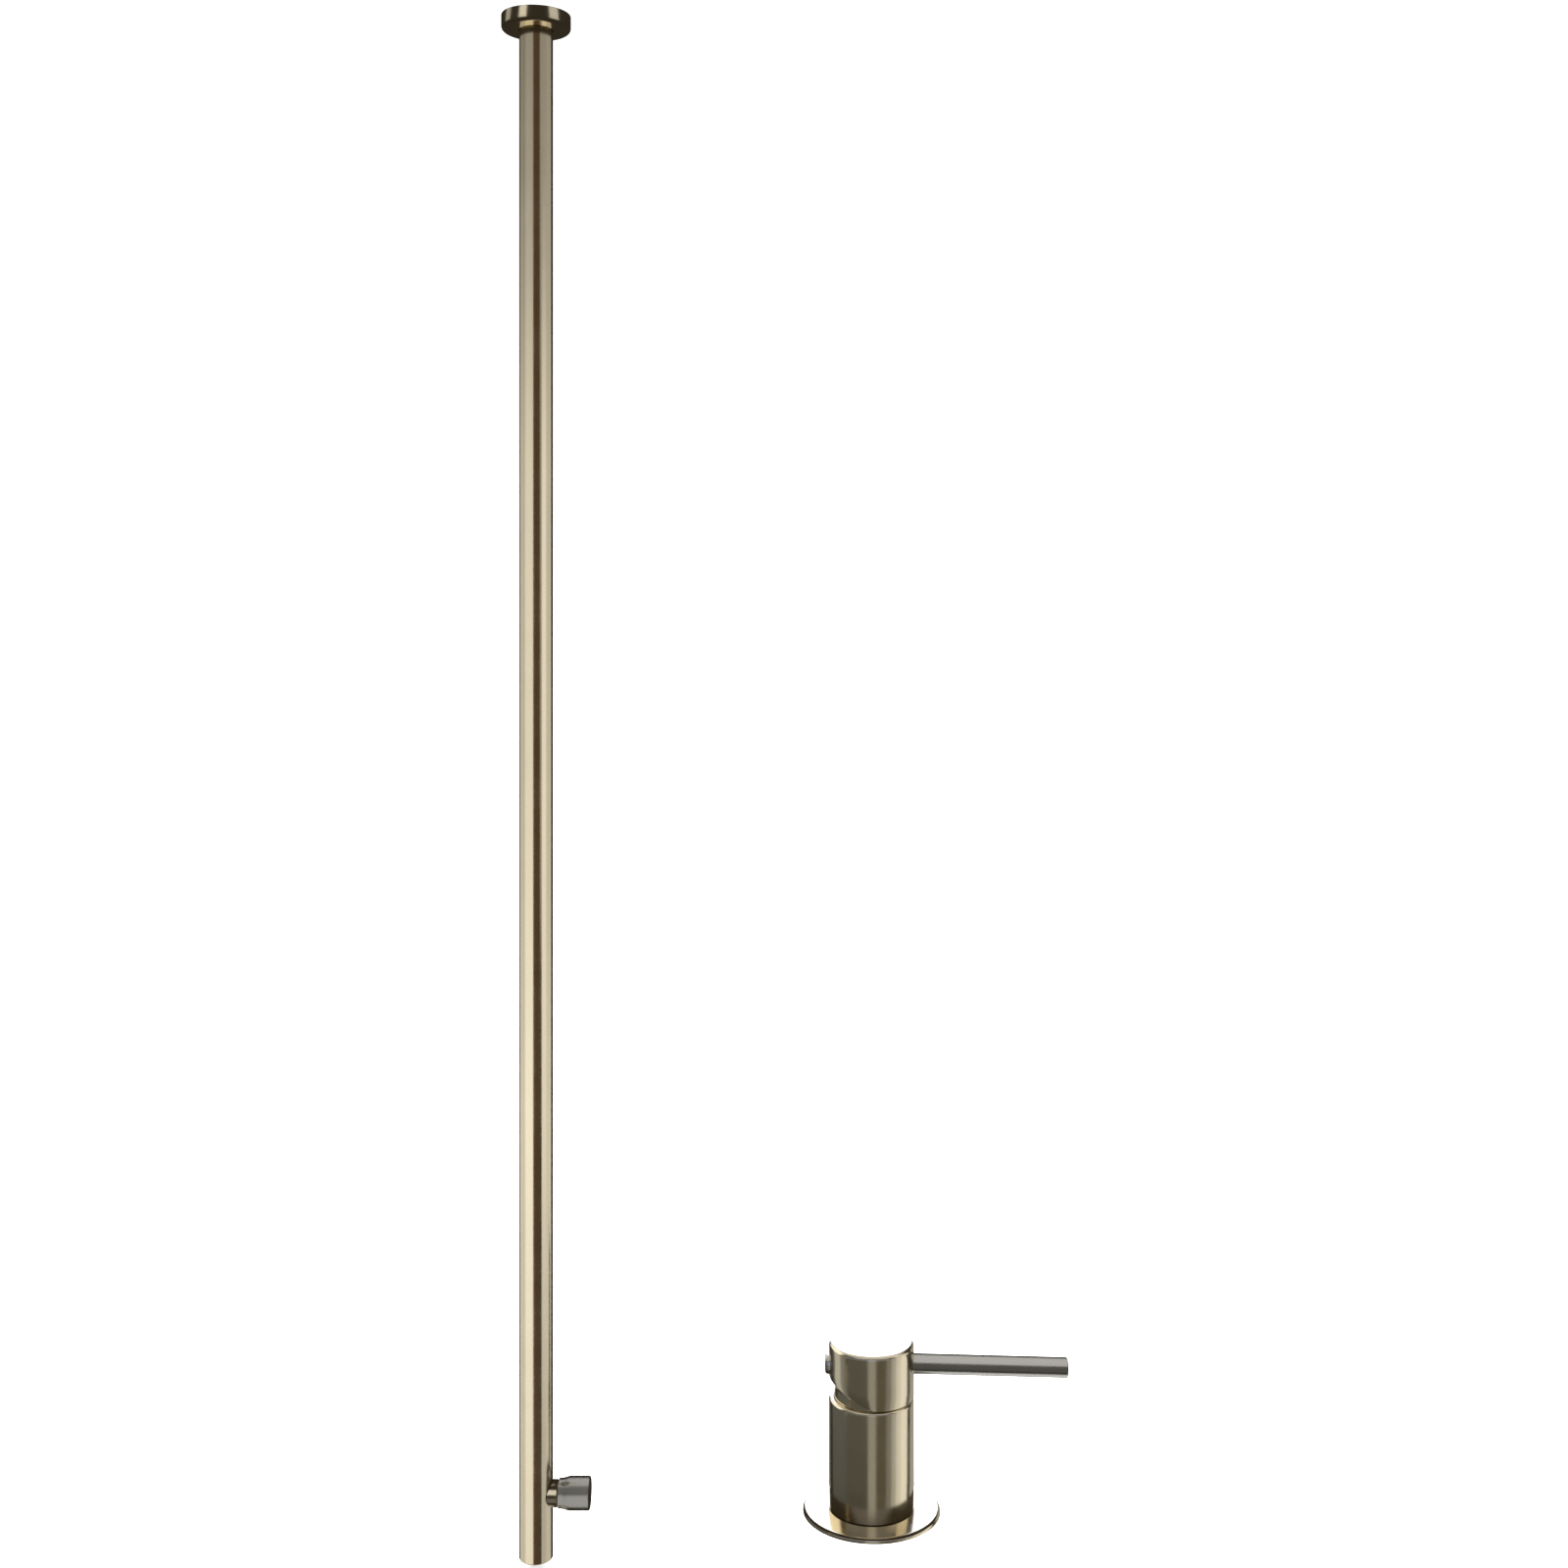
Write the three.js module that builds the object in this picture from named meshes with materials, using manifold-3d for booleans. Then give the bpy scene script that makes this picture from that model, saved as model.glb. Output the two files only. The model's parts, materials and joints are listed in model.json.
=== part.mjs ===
// A tap set in two fixed halves: a long drop spout hung from the ceiling, with a quarter-turn valve
// near its mouth, and a single-lever mixer that stands on the deck below it.
// Millimetres. +X right, +Y away from the user, +Z up. The origin is the centre of the ceiling face.
import * as THREE from 'three';
import { mergeVertices } from 'three/addons/utils/BufferGeometryUtils.js';
import Module from 'manifold-3d';

const wasm = await Module();
wasm.setup();

// ---- clearances ----
const REST_GAP = 0.3; // between two pieces that rest on or are screwed into each other
const RUN_GAP = 0.1; // round a shaft that turns
const SWEEP_GAP = 0.7; // between the tilting cap and the trim ring under it
const LOOSE_GAP = 0.45; // round a piece that slides over another by hand

// ---- drop spout ----
const DROP_LENGTH = 912; // ceiling face to the mouth
const PIPE_R = 10;
const PIPE_WALL = 1.5;
const PIPE_BORE_R = PIPE_R - PIPE_WALL;
const ROSE_OVERHANG = 10.5; // how far the rose stands out round the pipe
const ROSE_R = PIPE_R + ROSE_OVERHANG;
const ROSE_HEIGHT = 9;
const ROSE_WALL = 1.6;
const ROSE_EDGE = 2.2;
const ROSE_BORE_R = PIPE_R + LOOSE_GAP;
const ROSE_BOSS_WALL = 2.75;
const ROSE_SEAL_R = 0.85;
const FLANGE_BORE_R = PIPE_R + REST_GAP + 0.1;
const FLANGE_R = ROSE_R - ROSE_WALL - 0.9;
const FLANGE_HEIGHT = 4.7;
const FLANGE_SCREW_AT = (FLANGE_BORE_R + FLANGE_R) / 2;
const FLANGE_SCREW_R = 2;
const SCREW_HEAD_R = 3.5;
const GRUB_R = 1.5;
const GRUB_KEY_R = 0.85;
const INLET_HEAD_HEIGHT = 8.2; // as wide as the pipe, and hidden inside the rose
const INLET_LENGTH = 22;
const INLET_SOCKET_R = 5.7;
const INLET_SOCKET_DEPTH = 8;
const INLET_SEAL_R = 0.65;
const WATERWAY_R = 3.6;
const PIPE_TOP = -(2 * REST_GAP + INLET_HEAD_HEIGHT);

// ---- quarter-turn valve inside the pipe ----
const VALVE_ABOVE_MOUTH = 38;
const VALVE_Z = VALVE_ABOVE_MOUTH - DROP_LENGTH;
const VALVE_R = PIPE_BORE_R - REST_GAP;
const VALVE_UP = 12;
const VALVE_DOWN = 14;
const CHAMBER_R = 6.1;
const BALL_R = CHAMBER_R - REST_GAP;
const BALL_BORE_R = 3.4;
const SPINDLE_R = 2.5;
const SPINDLE_HEAD_R = 3.3;
const TONGUE_HALF = 0.9;
const GLAND_R = 4.65;
const GLAND_DEPTH = 2.5; // how far the gland reaches in from the pipe's surface
const NECK_LENGTH = 3;
const GLAND_INNER = PIPE_R - GLAND_DEPTH;
const GLAND_OUTER = PIPE_R + NECK_LENGTH;
const SADDLE_R = 7.7;
const KNOB_R = 9.5;
const KNOB_NECK_R = 8.4;
const KNOB_LENGTH = 18.8;
const KNOB_START = GLAND_OUTER + 0.4;
const KNOB_END = KNOB_START + KNOB_LENGTH;

// ---- outlet at the mouth ----
const OUTLET_RECESS = 0.7;
const OUTLET_HEIGHT = 12.3;
const OUTLET_WALL = 0.9;
const OUTLET_LEDGE = 1.8;
const OUTLET_BORE_R = VALVE_R - OUTLET_WALL;
const OUTLET_LEDGE_R = OUTLET_BORE_R - OUTLET_LEDGE;
const OUTLET_LEDGE_HEIGHT = 2;

// ---- mixer, measured up from the deck ----
const MIXER_X = 202;
const MIXER_Y = 74;
const DECK_Z = -DROP_LENGTH - 8; // the mouth hangs just above deck level
const CARTRIDGE_R = 17.5;
const CARTRIDGE_WALL = 2.3;
const CAVITY_R = CARTRIDGE_R + 2.5;
const BODY_WALL = 7;
const RIM_WALL = 3;
const BODY_R = CAVITY_R + BODY_WALL;
const PLATE_OVERHANG = 16.4;
const PLATE_R = BODY_R + PLATE_OVERHANG;
const PLATE_HEIGHT = 3;
const PIVOT_Z = 72.6; // the seam between body and cap, where the lever tilts
const CAP_HEIGHT = 34.4;
const CAP_EDGE = 3;
const LIFT_MAX = 22; // degrees
const NOTCH_SLOPE = THREE.MathUtils.degToRad(LIFT_MAX + 3);
const DOME_GAP = 0.4;
const DOME_R = BODY_R - RIM_WALL - DOME_GAP;
const DOME_WALL = 1.4;
const DOME_TOP = 6.2;
const DOME_SKIRT = 3;
const SHANK_R = 16;
const SHANK_WALL = 2.5;
const SHANK_BORE_R = SHANK_R - SHANK_WALL;
const SPIGOT_WALL = 5.4;
const SPIGOT_R = SHANK_R + REST_GAP + SPIGOT_WALL;
const SHANK_BELOW = 60;
const DECK_THICKNESS = 35;
const PORT_R = 4.8;
const PORT_DEPTH = 10;
const PORT_BLOCK_HEIGHT = 16.3; // solid metal between the shank and the cartridge
const PORT_CIRCLE_R = 7.2;
const CHANNEL_R = 2.5;
const PORT_TURNS = [90, 210, 330];

// ---- cartridge, measured up from the pivot ----
const SEAL_BOTTOM = -26;
const SEAL_HEIGHT = 1.3;
const SEAL_R = CARTRIDGE_R - 1.5;
const BASE_HEIGHT = 3;
const DISC_HEIGHT = 2.7;
const CARTRIDGE_BORE_R = CARTRIDGE_R - CARTRIDGE_WALL;
const FIXED_DISC_R = CARTRIDGE_BORE_R - 0.6;
const DISC_TRAVEL = 4.4;
const MOVING_DISC_R = CARTRIDGE_BORE_R - DISC_TRAVEL - 0.2;
const CARRIER_HEIGHT = 4.8;
const COLLAR_R = 12.6;
const COLLAR_SHOULDER = 3.5;
const HUB_R = COLLAR_R - COLLAR_SHOULDER;
const PIN_R = 1.5;
const FOOT_BELOW = 11.5;
const FOOT_R = 2;
const STEM_HALF_X = 3.5;
const STEM_HALF_Y = 3;

// ---- lever ----
const LEVER_R = 6.2;
const LEVER_ABOVE_PIVOT = 20;
const LEVER_REACH = 124;
const LEVER_DROOP = THREE.MathUtils.degToRad(1.5);
const LEVER_SINK = 1.5;
const LEVER_SEAT = BODY_R - LEVER_SINK;
const LEVER_THREAD_R = 2.4;
const TAIL_OUT = 2.7;
const TAIL_SINK = 2.1;
const STEM_ABOVE_LEVER = 5.5;
const STEM_TOP = LEVER_ABOVE_PIVOT + STEM_ABOVE_LEVER;

const FINE = 32;
const MEDIUM = 20;
const SMALL = 12;
const CORNER_STEPS = 2;

const METALS = {
  champagne: new THREE.MeshStandardMaterial({ color: 0xc9b893, roughness: 0.28, metalness: 1 }),
  nickel: new THREE.MeshStandardMaterial({ color: 0xb4b2aa, roughness: 0.32, metalness: 1 }),
  brass: new THREE.MeshStandardMaterial({ color: 0xb8924a, roughness: 0.4, metalness: 1 }),
  steel: new THREE.MeshStandardMaterial({ color: 0xa9abae, roughness: 0.35, metalness: 1 }),
};
const RUBBER = new THREE.MeshStandardMaterial({ color: 0x1d1d1f, roughness: 0.85, metalness: 0 });
const PLASTIC = new THREE.MeshStandardMaterial({ color: 0xd9d7cf, roughness: 0.6, metalness: 0 });
const SEAT_PLASTIC = new THREE.MeshStandardMaterial({ color: 0xf0efe9, roughness: 0.5, metalness: 0 });
const CERAMIC = new THREE.MeshStandardMaterial({ color: 0xf3efe6, roughness: 0.2, metalness: 0 });

// ---- solids ----

// A closed geometry as a solid that faces outwards.
function solid(geometry) {
  const bare = new THREE.BufferGeometry();
  bare.setAttribute('position', geometry.getAttribute('position'));
  bare.setIndex(geometry.index);
  const merged = mergeVertices(bare, 1e-4);
  const index = merged.index.array;
  const build = (flip) => {
    const faces = [];
    for (let i = 0; i < index.length; i += 3) {
      const [a, b, c] = [index[i], index[i + 1], index[i + 2]];
      if (a === b || b === c || c === a) continue;
      faces.push(a, flip ? c : b, flip ? b : c);
    }
    return new wasm.Manifold(new wasm.Mesh({
      numProp: 3,
      vertProperties: new Float32Array(merged.getAttribute('position').array),
      triVerts: new Uint32Array(faces),
    }));
  };
  const made = build(false);
  return made.volume() < 0 ? build(true) : made;
}

// The arc that rounds one corner of an outline.
function roundedCorner(before, corner, after, radius) {
  const toBefore = before.clone().sub(corner).normalize();
  const toAfter = after.clone().sub(corner).normalize();
  const half = Math.acos(THREE.MathUtils.clamp(toBefore.dot(toAfter), -1, 1)) / 2;
  const reach = radius / Math.tan(half);
  const middle = toBefore.clone().add(toAfter).normalize();
  const centre = corner.clone().addScaledVector(middle, radius / Math.sin(half));
  const start = corner.clone().addScaledVector(toBefore, reach).sub(centre);
  const end = corner.clone().addScaledVector(toAfter, reach).sub(centre);
  const from = Math.atan2(start.y, start.x);
  let sweep = Math.atan2(end.y, end.x) - from;
  if (sweep > Math.PI) sweep -= 2 * Math.PI;
  if (sweep < -Math.PI) sweep += 2 * Math.PI;
  const points = [];
  for (let i = 0; i <= CORNER_STEPS; i += 1) {
    const angle = from + (sweep * i) / CORNER_STEPS;
    points.push(new THREE.Vector2(
      centre.x + radius * Math.cos(angle),
      centre.y + radius * Math.sin(angle),
    ));
  }
  return points;
}

// An outline of [radius, height, rounding] corners, ready to spin.
function outline(corners, closed) {
  const at = corners.map(([r, z]) => new THREE.Vector2(r, z));
  const count = at.length;
  const points = [];
  corners.forEach(([, , rounding], i) => {
    const end = !closed && (i === 0 || i === count - 1);
    if (!rounding || end) points.push(at[i]);
    else points.push(...roundedCorner(at[(i + count - 1) % count], at[i], at[(i + 1) % count], rounding));
  });
  if (closed) points.push(points[0].clone());
  return points;
}

// A solid spun about Z. An outline that starts on the axis ends on it; any other is a ring.
function spun(corners, segments) {
  const closed = corners[0][0] > 0;
  const geometry = new THREE.LatheGeometry(outline(corners, closed), segments);
  geometry.rotateX(Math.PI / 2);
  return geometry;
}

// The same, spun about X: each corner is [radius, x, rounding].
function spunAboutX(corners, segments) {
  const geometry = spun(corners, segments);
  geometry.rotateY(Math.PI / 2);
  return geometry;
}

// A plain round bar between two points.
function bar(radius, from, to, segments) {
  const start = new THREE.Vector3(...from);
  const along = new THREE.Vector3(...to).sub(start);
  const geometry = new THREE.CylinderGeometry(radius, radius, along.length(), segments);
  const turn = new THREE.Quaternion().setFromUnitVectors(
    new THREE.Vector3(0, 1, 0),
    along.clone().normalize(),
  );
  geometry.applyQuaternion(turn);
  geometry.translate(...start.addScaledVector(along, 0.5).toArray());
  return solid(geometry);
}

// A box between two corners.
function block(low, high) {
  const geometry = new THREE.BoxGeometry(high[0] - low[0], high[1] - low[1], high[2] - low[2]);
  geometry.translate((low[0] + high[0]) / 2, (low[1] + high[1]) / 2, (low[2] + high[2]) / 2);
  return solid(geometry);
}

// A six-sided bar about Z.
function hexagon(cornerRadius, low, high) {
  const geometry = new THREE.CylinderGeometry(cornerRadius, cornerRadius, high - low, 6);
  geometry.rotateX(Math.PI / 2);
  geometry.translate(0, 0, (low + high) / 2);
  return solid(geometry);
}

// A round seal about Z.
function ringSeal(major, minor, height) {
  const points = [];
  for (let i = 0; i < 8; i += 1) {
    const angle = (i * Math.PI) / 4;
    points.push([major + minor * Math.cos(angle), height + minor * Math.sin(angle)]);
  }
  return spun(points, MEDIUM);
}

function cutAll(whole, tools) {
  return tools.reduce((left, tool) => left.subtract(tool), whole);
}

// Points [x, y] on a circle, one per turn in degrees.
function aroundCircle(radius, turns) {
  return turns.map((turn) => {
    const angle = THREE.MathUtils.degToRad(turn);
    return [radius * Math.cos(angle), radius * Math.sin(angle)];
  });
}

// A headless screw: a bar with a six-sided key hole in its outer end.
function grubScrew(inner, outer) {
  const start = new THREE.Vector3(...inner);
  const end = new THREE.Vector3(...outer);
  const keyFloor = end.clone().lerp(start, 0.35);
  const past = end.clone().add(end.clone().sub(start).normalize());
  return bar(GRUB_R, inner, outer, SMALL).subtract(
    bar(GRUB_KEY_R, keyFloor.toArray(), past.toArray(), 6),
  );
}

// ---- the assembly ----

const set = new THREE.Group();
const spout = new THREE.Group();
const mixer = new THREE.Group();
mixer.position.set(MIXER_X, MIXER_Y, DECK_Z);
set.add(spout, mixer);

function addNode(group, name, made, material) {
  const mesh = made.getMesh();
  const geometry = new THREE.BufferGeometry();
  geometry.setAttribute('position', new THREE.BufferAttribute(new Float32Array(mesh.vertProperties), 3));
  geometry.setIndex(new THREE.BufferAttribute(new Uint32Array(mesh.triVerts), 1));
  geometry.computeVertexNormals();
  const node = new THREE.Mesh(geometry, material);
  node.name = name;
  group.add(node);
}

// ---- ceiling fixing and rose ----

const grubZ = -FLANGE_HEIGHT / 2;
const flangeScrewHoles = [-1, 1].flatMap((side) => {
  const x = side * FLANGE_SCREW_AT;
  const sink = spun([
    [0, -FLANGE_HEIGHT - 1],
    [SCREW_HEAD_R + 0.6, -FLANGE_HEIGHT - 1],
    [SCREW_HEAD_R, -FLANGE_HEIGHT],
    [FLANGE_SCREW_R - 0.2, -FLANGE_HEIGHT + 2.2],
    [0, -FLANGE_HEIGHT + 2.2],
  ], SMALL);
  sink.translate(x, 0, 0);
  return [solid(sink), bar(FLANGE_SCREW_R, [x, 0, -FLANGE_HEIGHT - 1], [x, 0, 1], SMALL)];
});
const flangeGrubHoles = [-1, 1].map((side) => (
  bar(GRUB_R + REST_GAP, [0, side * (FLANGE_BORE_R - 2), grubZ], [0, side * (FLANGE_R + 1), grubZ], SMALL)
));
const flange = solid(spun([
  [FLANGE_BORE_R, 0],
  [FLANGE_BORE_R, -FLANGE_HEIGHT],
  [FLANGE_R, -FLANGE_HEIGHT],
  [FLANGE_R, 0],
], MEDIUM));
addNode(spout, 'ceiling_flange', cutAll(flange, [...flangeScrewHoles, ...flangeGrubHoles]), METALS.brass);

for (const [name, side] of [['flange_grub_front', -1], ['flange_grub_back', 1]]) {
  const inner = [0, side * (PIPE_R + REST_GAP), grubZ];
  const outer = [0, side * (FLANGE_R - 0.8), grubZ];
  addNode(spout, name, grubScrew(inner, outer), METALS.steel);
}

const roseBossR = ROSE_BORE_R + ROSE_BOSS_WALL;
const roseBossTop = -FLANGE_HEIGHT - 0.5;
const roseGroove = {
  top: roseBossTop - 0.7,
  bottom: roseBossTop - 1 - 2 * ROSE_SEAL_R,
  r: PIPE_R + 0.5 + 2 * ROSE_SEAL_R,
};
const rose = solid(spun([
  [ROSE_BORE_R, -ROSE_HEIGHT],
  [ROSE_R, -ROSE_HEIGHT, ROSE_EDGE],
  [ROSE_R, 0, 0.3],
  [ROSE_R - ROSE_WALL, 0],
  [ROSE_R - ROSE_WALL, -ROSE_HEIGHT + ROSE_WALL],
  [roseBossR, -ROSE_HEIGHT + ROSE_WALL],
  [roseBossR, roseBossTop],
  [ROSE_BORE_R, roseBossTop],
  [ROSE_BORE_R, roseGroove.top],
  [roseGroove.r, roseGroove.top],
  [roseGroove.r, roseGroove.bottom],
  [ROSE_BORE_R, roseGroove.bottom],
], FINE));
addNode(spout, 'ceiling_rose', rose, METALS.champagne);
addNode(
  spout,
  'rose_o_ring',
  solid(ringSeal(PIPE_R + 0.15 + ROSE_SEAL_R, ROSE_SEAL_R, (roseGroove.top + roseGroove.bottom) / 2)),
  RUBBER,
);

// ---- inlet ----

const inletR = VALVE_R;
const inletGroove = {
  top: -INLET_LENGTH + 5.5,
  bottom: -INLET_LENGTH + 3.3,
  r: inletR + 0.1 - 2 * INLET_SEAL_R,
};
const inletSocketFloor = -REST_GAP - INLET_SOCKET_DEPTH;
addNode(spout, 'inlet_adaptor', solid(spun([
  [INLET_SOCKET_R, -REST_GAP],
  [PIPE_R, -REST_GAP],
  [PIPE_R, -REST_GAP - INLET_HEAD_HEIGHT],
  [inletR, -REST_GAP - INLET_HEAD_HEIGHT],
  [inletR, inletGroove.top],
  [inletGroove.r, inletGroove.top],
  [inletGroove.r, inletGroove.bottom],
  [inletR, inletGroove.bottom],
  [inletR, -INLET_LENGTH],
  [WATERWAY_R, -INLET_LENGTH],
  [WATERWAY_R, inletSocketFloor],
  [INLET_SOCKET_R, inletSocketFloor],
], MEDIUM)), METALS.brass);
addNode(
  spout,
  'inlet_o_ring',
  solid(ringSeal(
    inletGroove.r + 0.1 + INLET_SEAL_R,
    INLET_SEAL_R,
    (inletGroove.top + inletGroove.bottom) / 2,
  )),
  RUBBER,
);

const strainerTop = inletSocketFloor + REST_GAP + 1;
const strainerBottom = inletSocketFloor + REST_GAP;
const strainerHoles = [[0, 0], ...aroundCircle(3.2, [0, 60, 120, 180, 240, 300])].map(([x, y]) => (
  bar(0.8, [x, y, strainerBottom - 1], [x, y, strainerTop + 1], 6)
));
const strainer = bar(INLET_SOCKET_R - REST_GAP, [0, 0, strainerBottom], [0, 0, strainerTop], MEDIUM);
addNode(spout, 'inlet_strainer', cutAll(strainer, strainerHoles), METALS.steel);

// ---- pipe ----

const pipe = solid(spun([
  [PIPE_BORE_R, -DROP_LENGTH, 0.4],
  [PIPE_R, -DROP_LENGTH, 0.9],
  [PIPE_R, PIPE_TOP],
  [PIPE_BORE_R, PIPE_TOP],
], FINE));
const glandHole = bar(
  GLAND_R + 0.35,
  [PIPE_BORE_R - 3, 0, VALVE_Z],
  [PIPE_R + 3, 0, VALVE_Z],
  MEDIUM,
);
addNode(spout, 'drop_pipe', pipe.subtract(glandHole), METALS.champagne);

// ---- quarter-turn valve ----

const valveTop = VALVE_Z + VALVE_UP;
const valveBottom = VALVE_Z - VALVE_DOWN;
const seatHigh = BALL_R - 0.4;
const chamberTop = VALVE_Z + seatHigh + REST_GAP;
const valveBlock = solid(spun([
  [WATERWAY_R, valveTop],
  [VALVE_R, valveTop],
  [VALVE_R, valveBottom],
  [CHAMBER_R, valveBottom],
  [CHAMBER_R, chamberTop],
  [WATERWAY_R, chamberTop],
], MEDIUM));
addNode(spout, 'valve_body', cutAll(valveBlock, [
  bar(SPINDLE_HEAD_R + REST_GAP, [BALL_R - 1.3, 0, VALVE_Z], [VALVE_R + 1, 0, VALVE_Z], MEDIUM),
  bar(GLAND_R + 0.25, [GLAND_INNER - REST_GAP, 0, VALVE_Z], [VALVE_R + 1, 0, VALVE_Z], MEDIUM),
]), METALS.brass);

// A seat ring on one side of the ball; side is +1 above it and -1 below it. Its sloping face runs
// between two points that stand off the ball, so that its middle just clears the ball.
const seatLow = seatHigh - 2.6;
const seatBoreR = WATERWAY_R + 0.1;
const seatOuterR = CHAMBER_R - 0.2;
const seatStandOff = BALL_R + 0.27;
function seatRing(side) {
  return solid(spun([
    [seatBoreR, VALVE_Z + side * seatHigh],
    [seatOuterR, VALVE_Z + side * seatHigh],
    [seatOuterR, VALVE_Z + side * seatLow],
    [Math.sqrt(seatStandOff ** 2 - seatLow ** 2), VALVE_Z + side * seatLow],
    [seatBoreR, VALVE_Z + side * Math.sqrt(seatStandOff ** 2 - seatBoreR ** 2)],
  ], MEDIUM));
}
addNode(spout, 'valve_seat_upper', seatRing(1), SEAT_PLASTIC);
addNode(spout, 'valve_seat_lower', seatRing(-1), SEAT_PLASTIC);
addNode(spout, 'seat_retainer', solid(spun([
  [WATERWAY_R, VALVE_Z - seatHigh - REST_GAP],
  [seatOuterR, VALVE_Z - seatHigh - REST_GAP],
  [seatOuterR, valveBottom + 1.5],
  [WATERWAY_R, valveBottom + 1.5],
], MEDIUM)), METALS.brass);

const ballOutline = [];
for (let i = 0; i <= 12; i += 1) {
  const angle = -Math.PI / 2 + (i * Math.PI) / 12;
  const onAxis = i === 0 || i === 12;
  ballOutline.push([onAxis ? 0 : BALL_R * Math.cos(angle), BALL_R * Math.sin(angle)]);
}
const ball = spun(ballOutline, MEDIUM);
ball.translate(0, 0, VALVE_Z);
const tongueInner = BALL_R - 1.3;
addNode(spout, 'valve_ball', cutAll(solid(ball), [
  bar(BALL_BORE_R, [0, -BALL_R - 1, VALVE_Z], [0, BALL_R + 1, VALVE_Z], MEDIUM),
  block(
    [tongueInner - REST_GAP, -TONGUE_HALF - REST_GAP, VALVE_Z - BALL_R],
    [BALL_R + 1, TONGUE_HALF + REST_GAP, VALVE_Z + BALL_R],
  ),
]), METALS.steel);

const spindleHeadInner = BALL_R + 0.15;
const spindleHeadOuter = GLAND_INNER - 0.4;
const spindleEnd = KNOB_END - 4.2;
const spindle = spunAboutX([
  [0, spindleHeadInner],
  [SPINDLE_HEAD_R, spindleHeadInner],
  [SPINDLE_HEAD_R, spindleHeadOuter],
  [SPINDLE_R, spindleHeadOuter],
  [SPINDLE_R, spindleEnd],
  [0, spindleEnd],
], MEDIUM);
spindle.translate(0, 0, VALVE_Z);
const tongueHalfHeight = seatLow - 0.2;
const tongue = block(
  [tongueInner, -TONGUE_HALF, VALVE_Z - tongueHalfHeight],
  [spindleHeadInner + 0.3, TONGUE_HALF, VALVE_Z + tongueHalfHeight],
);
addNode(spout, 'valve_spindle', solid(spindle).add(tongue), METALS.steel);

const glandBoreR = SPINDLE_R + 0.15;
const glandGroove = { inner: GLAND_OUTER - 3.4, outer: GLAND_OUTER - 1.4, r: GLAND_R - 0.9 };
const gland = spunAboutX([
  [glandBoreR, GLAND_INNER],
  [GLAND_R, GLAND_INNER],
  [GLAND_R, GLAND_OUTER, 0.4],
  [glandBoreR, GLAND_OUTER],
  [glandBoreR, glandGroove.outer],
  [glandGroove.r, glandGroove.outer],
  [glandGroove.r, glandGroove.inner],
  [glandBoreR, glandGroove.inner],
], MEDIUM);
gland.translate(0, 0, VALVE_Z);
addNode(spout, 'valve_gland', solid(gland), METALS.brass);

// The plated collar round the gland, hollowed underneath to sit on the round pipe.
const saddle = spunAboutX([
  [GLAND_R + REST_GAP, 0],
  [SADDLE_R, 0],
  [SADDLE_R, GLAND_OUTER, 0.5],
  [GLAND_R + REST_GAP, GLAND_OUTER],
], FINE);
saddle.translate(0, 0, VALVE_Z);
addNode(spout, 'neck_saddle', solid(saddle).subtract(bar(
  PIPE_R + REST_GAP,
  [0, 0, VALVE_Z - SADDLE_R - 1],
  [0, 0, VALVE_Z + SADDLE_R + 1],
  2 * FINE,
)), METALS.champagne);

const spindleSeal = ringSeal(3.15, 0.5, (glandGroove.inner + glandGroove.outer) / 2);
spindleSeal.rotateY(Math.PI / 2);
spindleSeal.translate(0, 0, VALVE_Z);
addNode(spout, 'spindle_o_ring', solid(spindleSeal), RUBBER);

const knobFlareEnd = KNOB_START + 7;
const knobGrubX = KNOB_START + 10.6;
const knob = spunAboutX([
  [0, spindleEnd + REST_GAP],
  [SPINDLE_R + RUN_GAP, spindleEnd + REST_GAP],
  [SPINDLE_R + RUN_GAP, KNOB_START],
  [KNOB_NECK_R, KNOB_START, 0.5],
  [KNOB_NECK_R, KNOB_START + 2, 4],
  [KNOB_R, knobFlareEnd, 4],
  [KNOB_R, KNOB_END, 1.2],
  [0, KNOB_END],
], FINE);
knob.translate(0, 0, VALVE_Z);
addNode(spout, 'valve_knob', solid(knob).subtract(bar(
  GRUB_R + REST_GAP,
  [knobGrubX, 0, VALVE_Z - KNOB_R - 1],
  [knobGrubX, 0, VALVE_Z - 1],
  SMALL,
)), METALS.nickel);
addNode(spout, 'knob_grub', grubScrew(
  [knobGrubX, 0, VALVE_Z - SPINDLE_R - REST_GAP],
  [knobGrubX, 0, VALVE_Z - KNOB_R + 1.3],
), METALS.steel);

// ---- outlet ----

const outletBottom = -DROP_LENGTH + OUTLET_RECESS;
const outletTop = outletBottom + OUTLET_HEIGHT;
const ledgeBottom = outletTop - OUTLET_LEDGE_HEIGHT;
const washerBottom = ledgeBottom - REST_GAP - 1.5;
addNode(spout, 'outlet_housing', solid(spun([
  [OUTLET_BORE_R, outletBottom],
  [VALVE_R, outletBottom],
  [VALVE_R, outletTop],
  [OUTLET_LEDGE_R, outletTop],
  [OUTLET_LEDGE_R, ledgeBottom],
  [OUTLET_BORE_R, ledgeBottom],
], MEDIUM)), METALS.nickel);
addNode(spout, 'outlet_washer', solid(spun([
  [OUTLET_LEDGE_R + 0.3, washerBottom],
  [OUTLET_BORE_R - REST_GAP, washerBottom],
  [OUTLET_BORE_R - REST_GAP, washerBottom + 1.5],
  [OUTLET_LEDGE_R + 0.3, washerBottom + 1.5],
], MEDIUM)), RUBBER);

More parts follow.
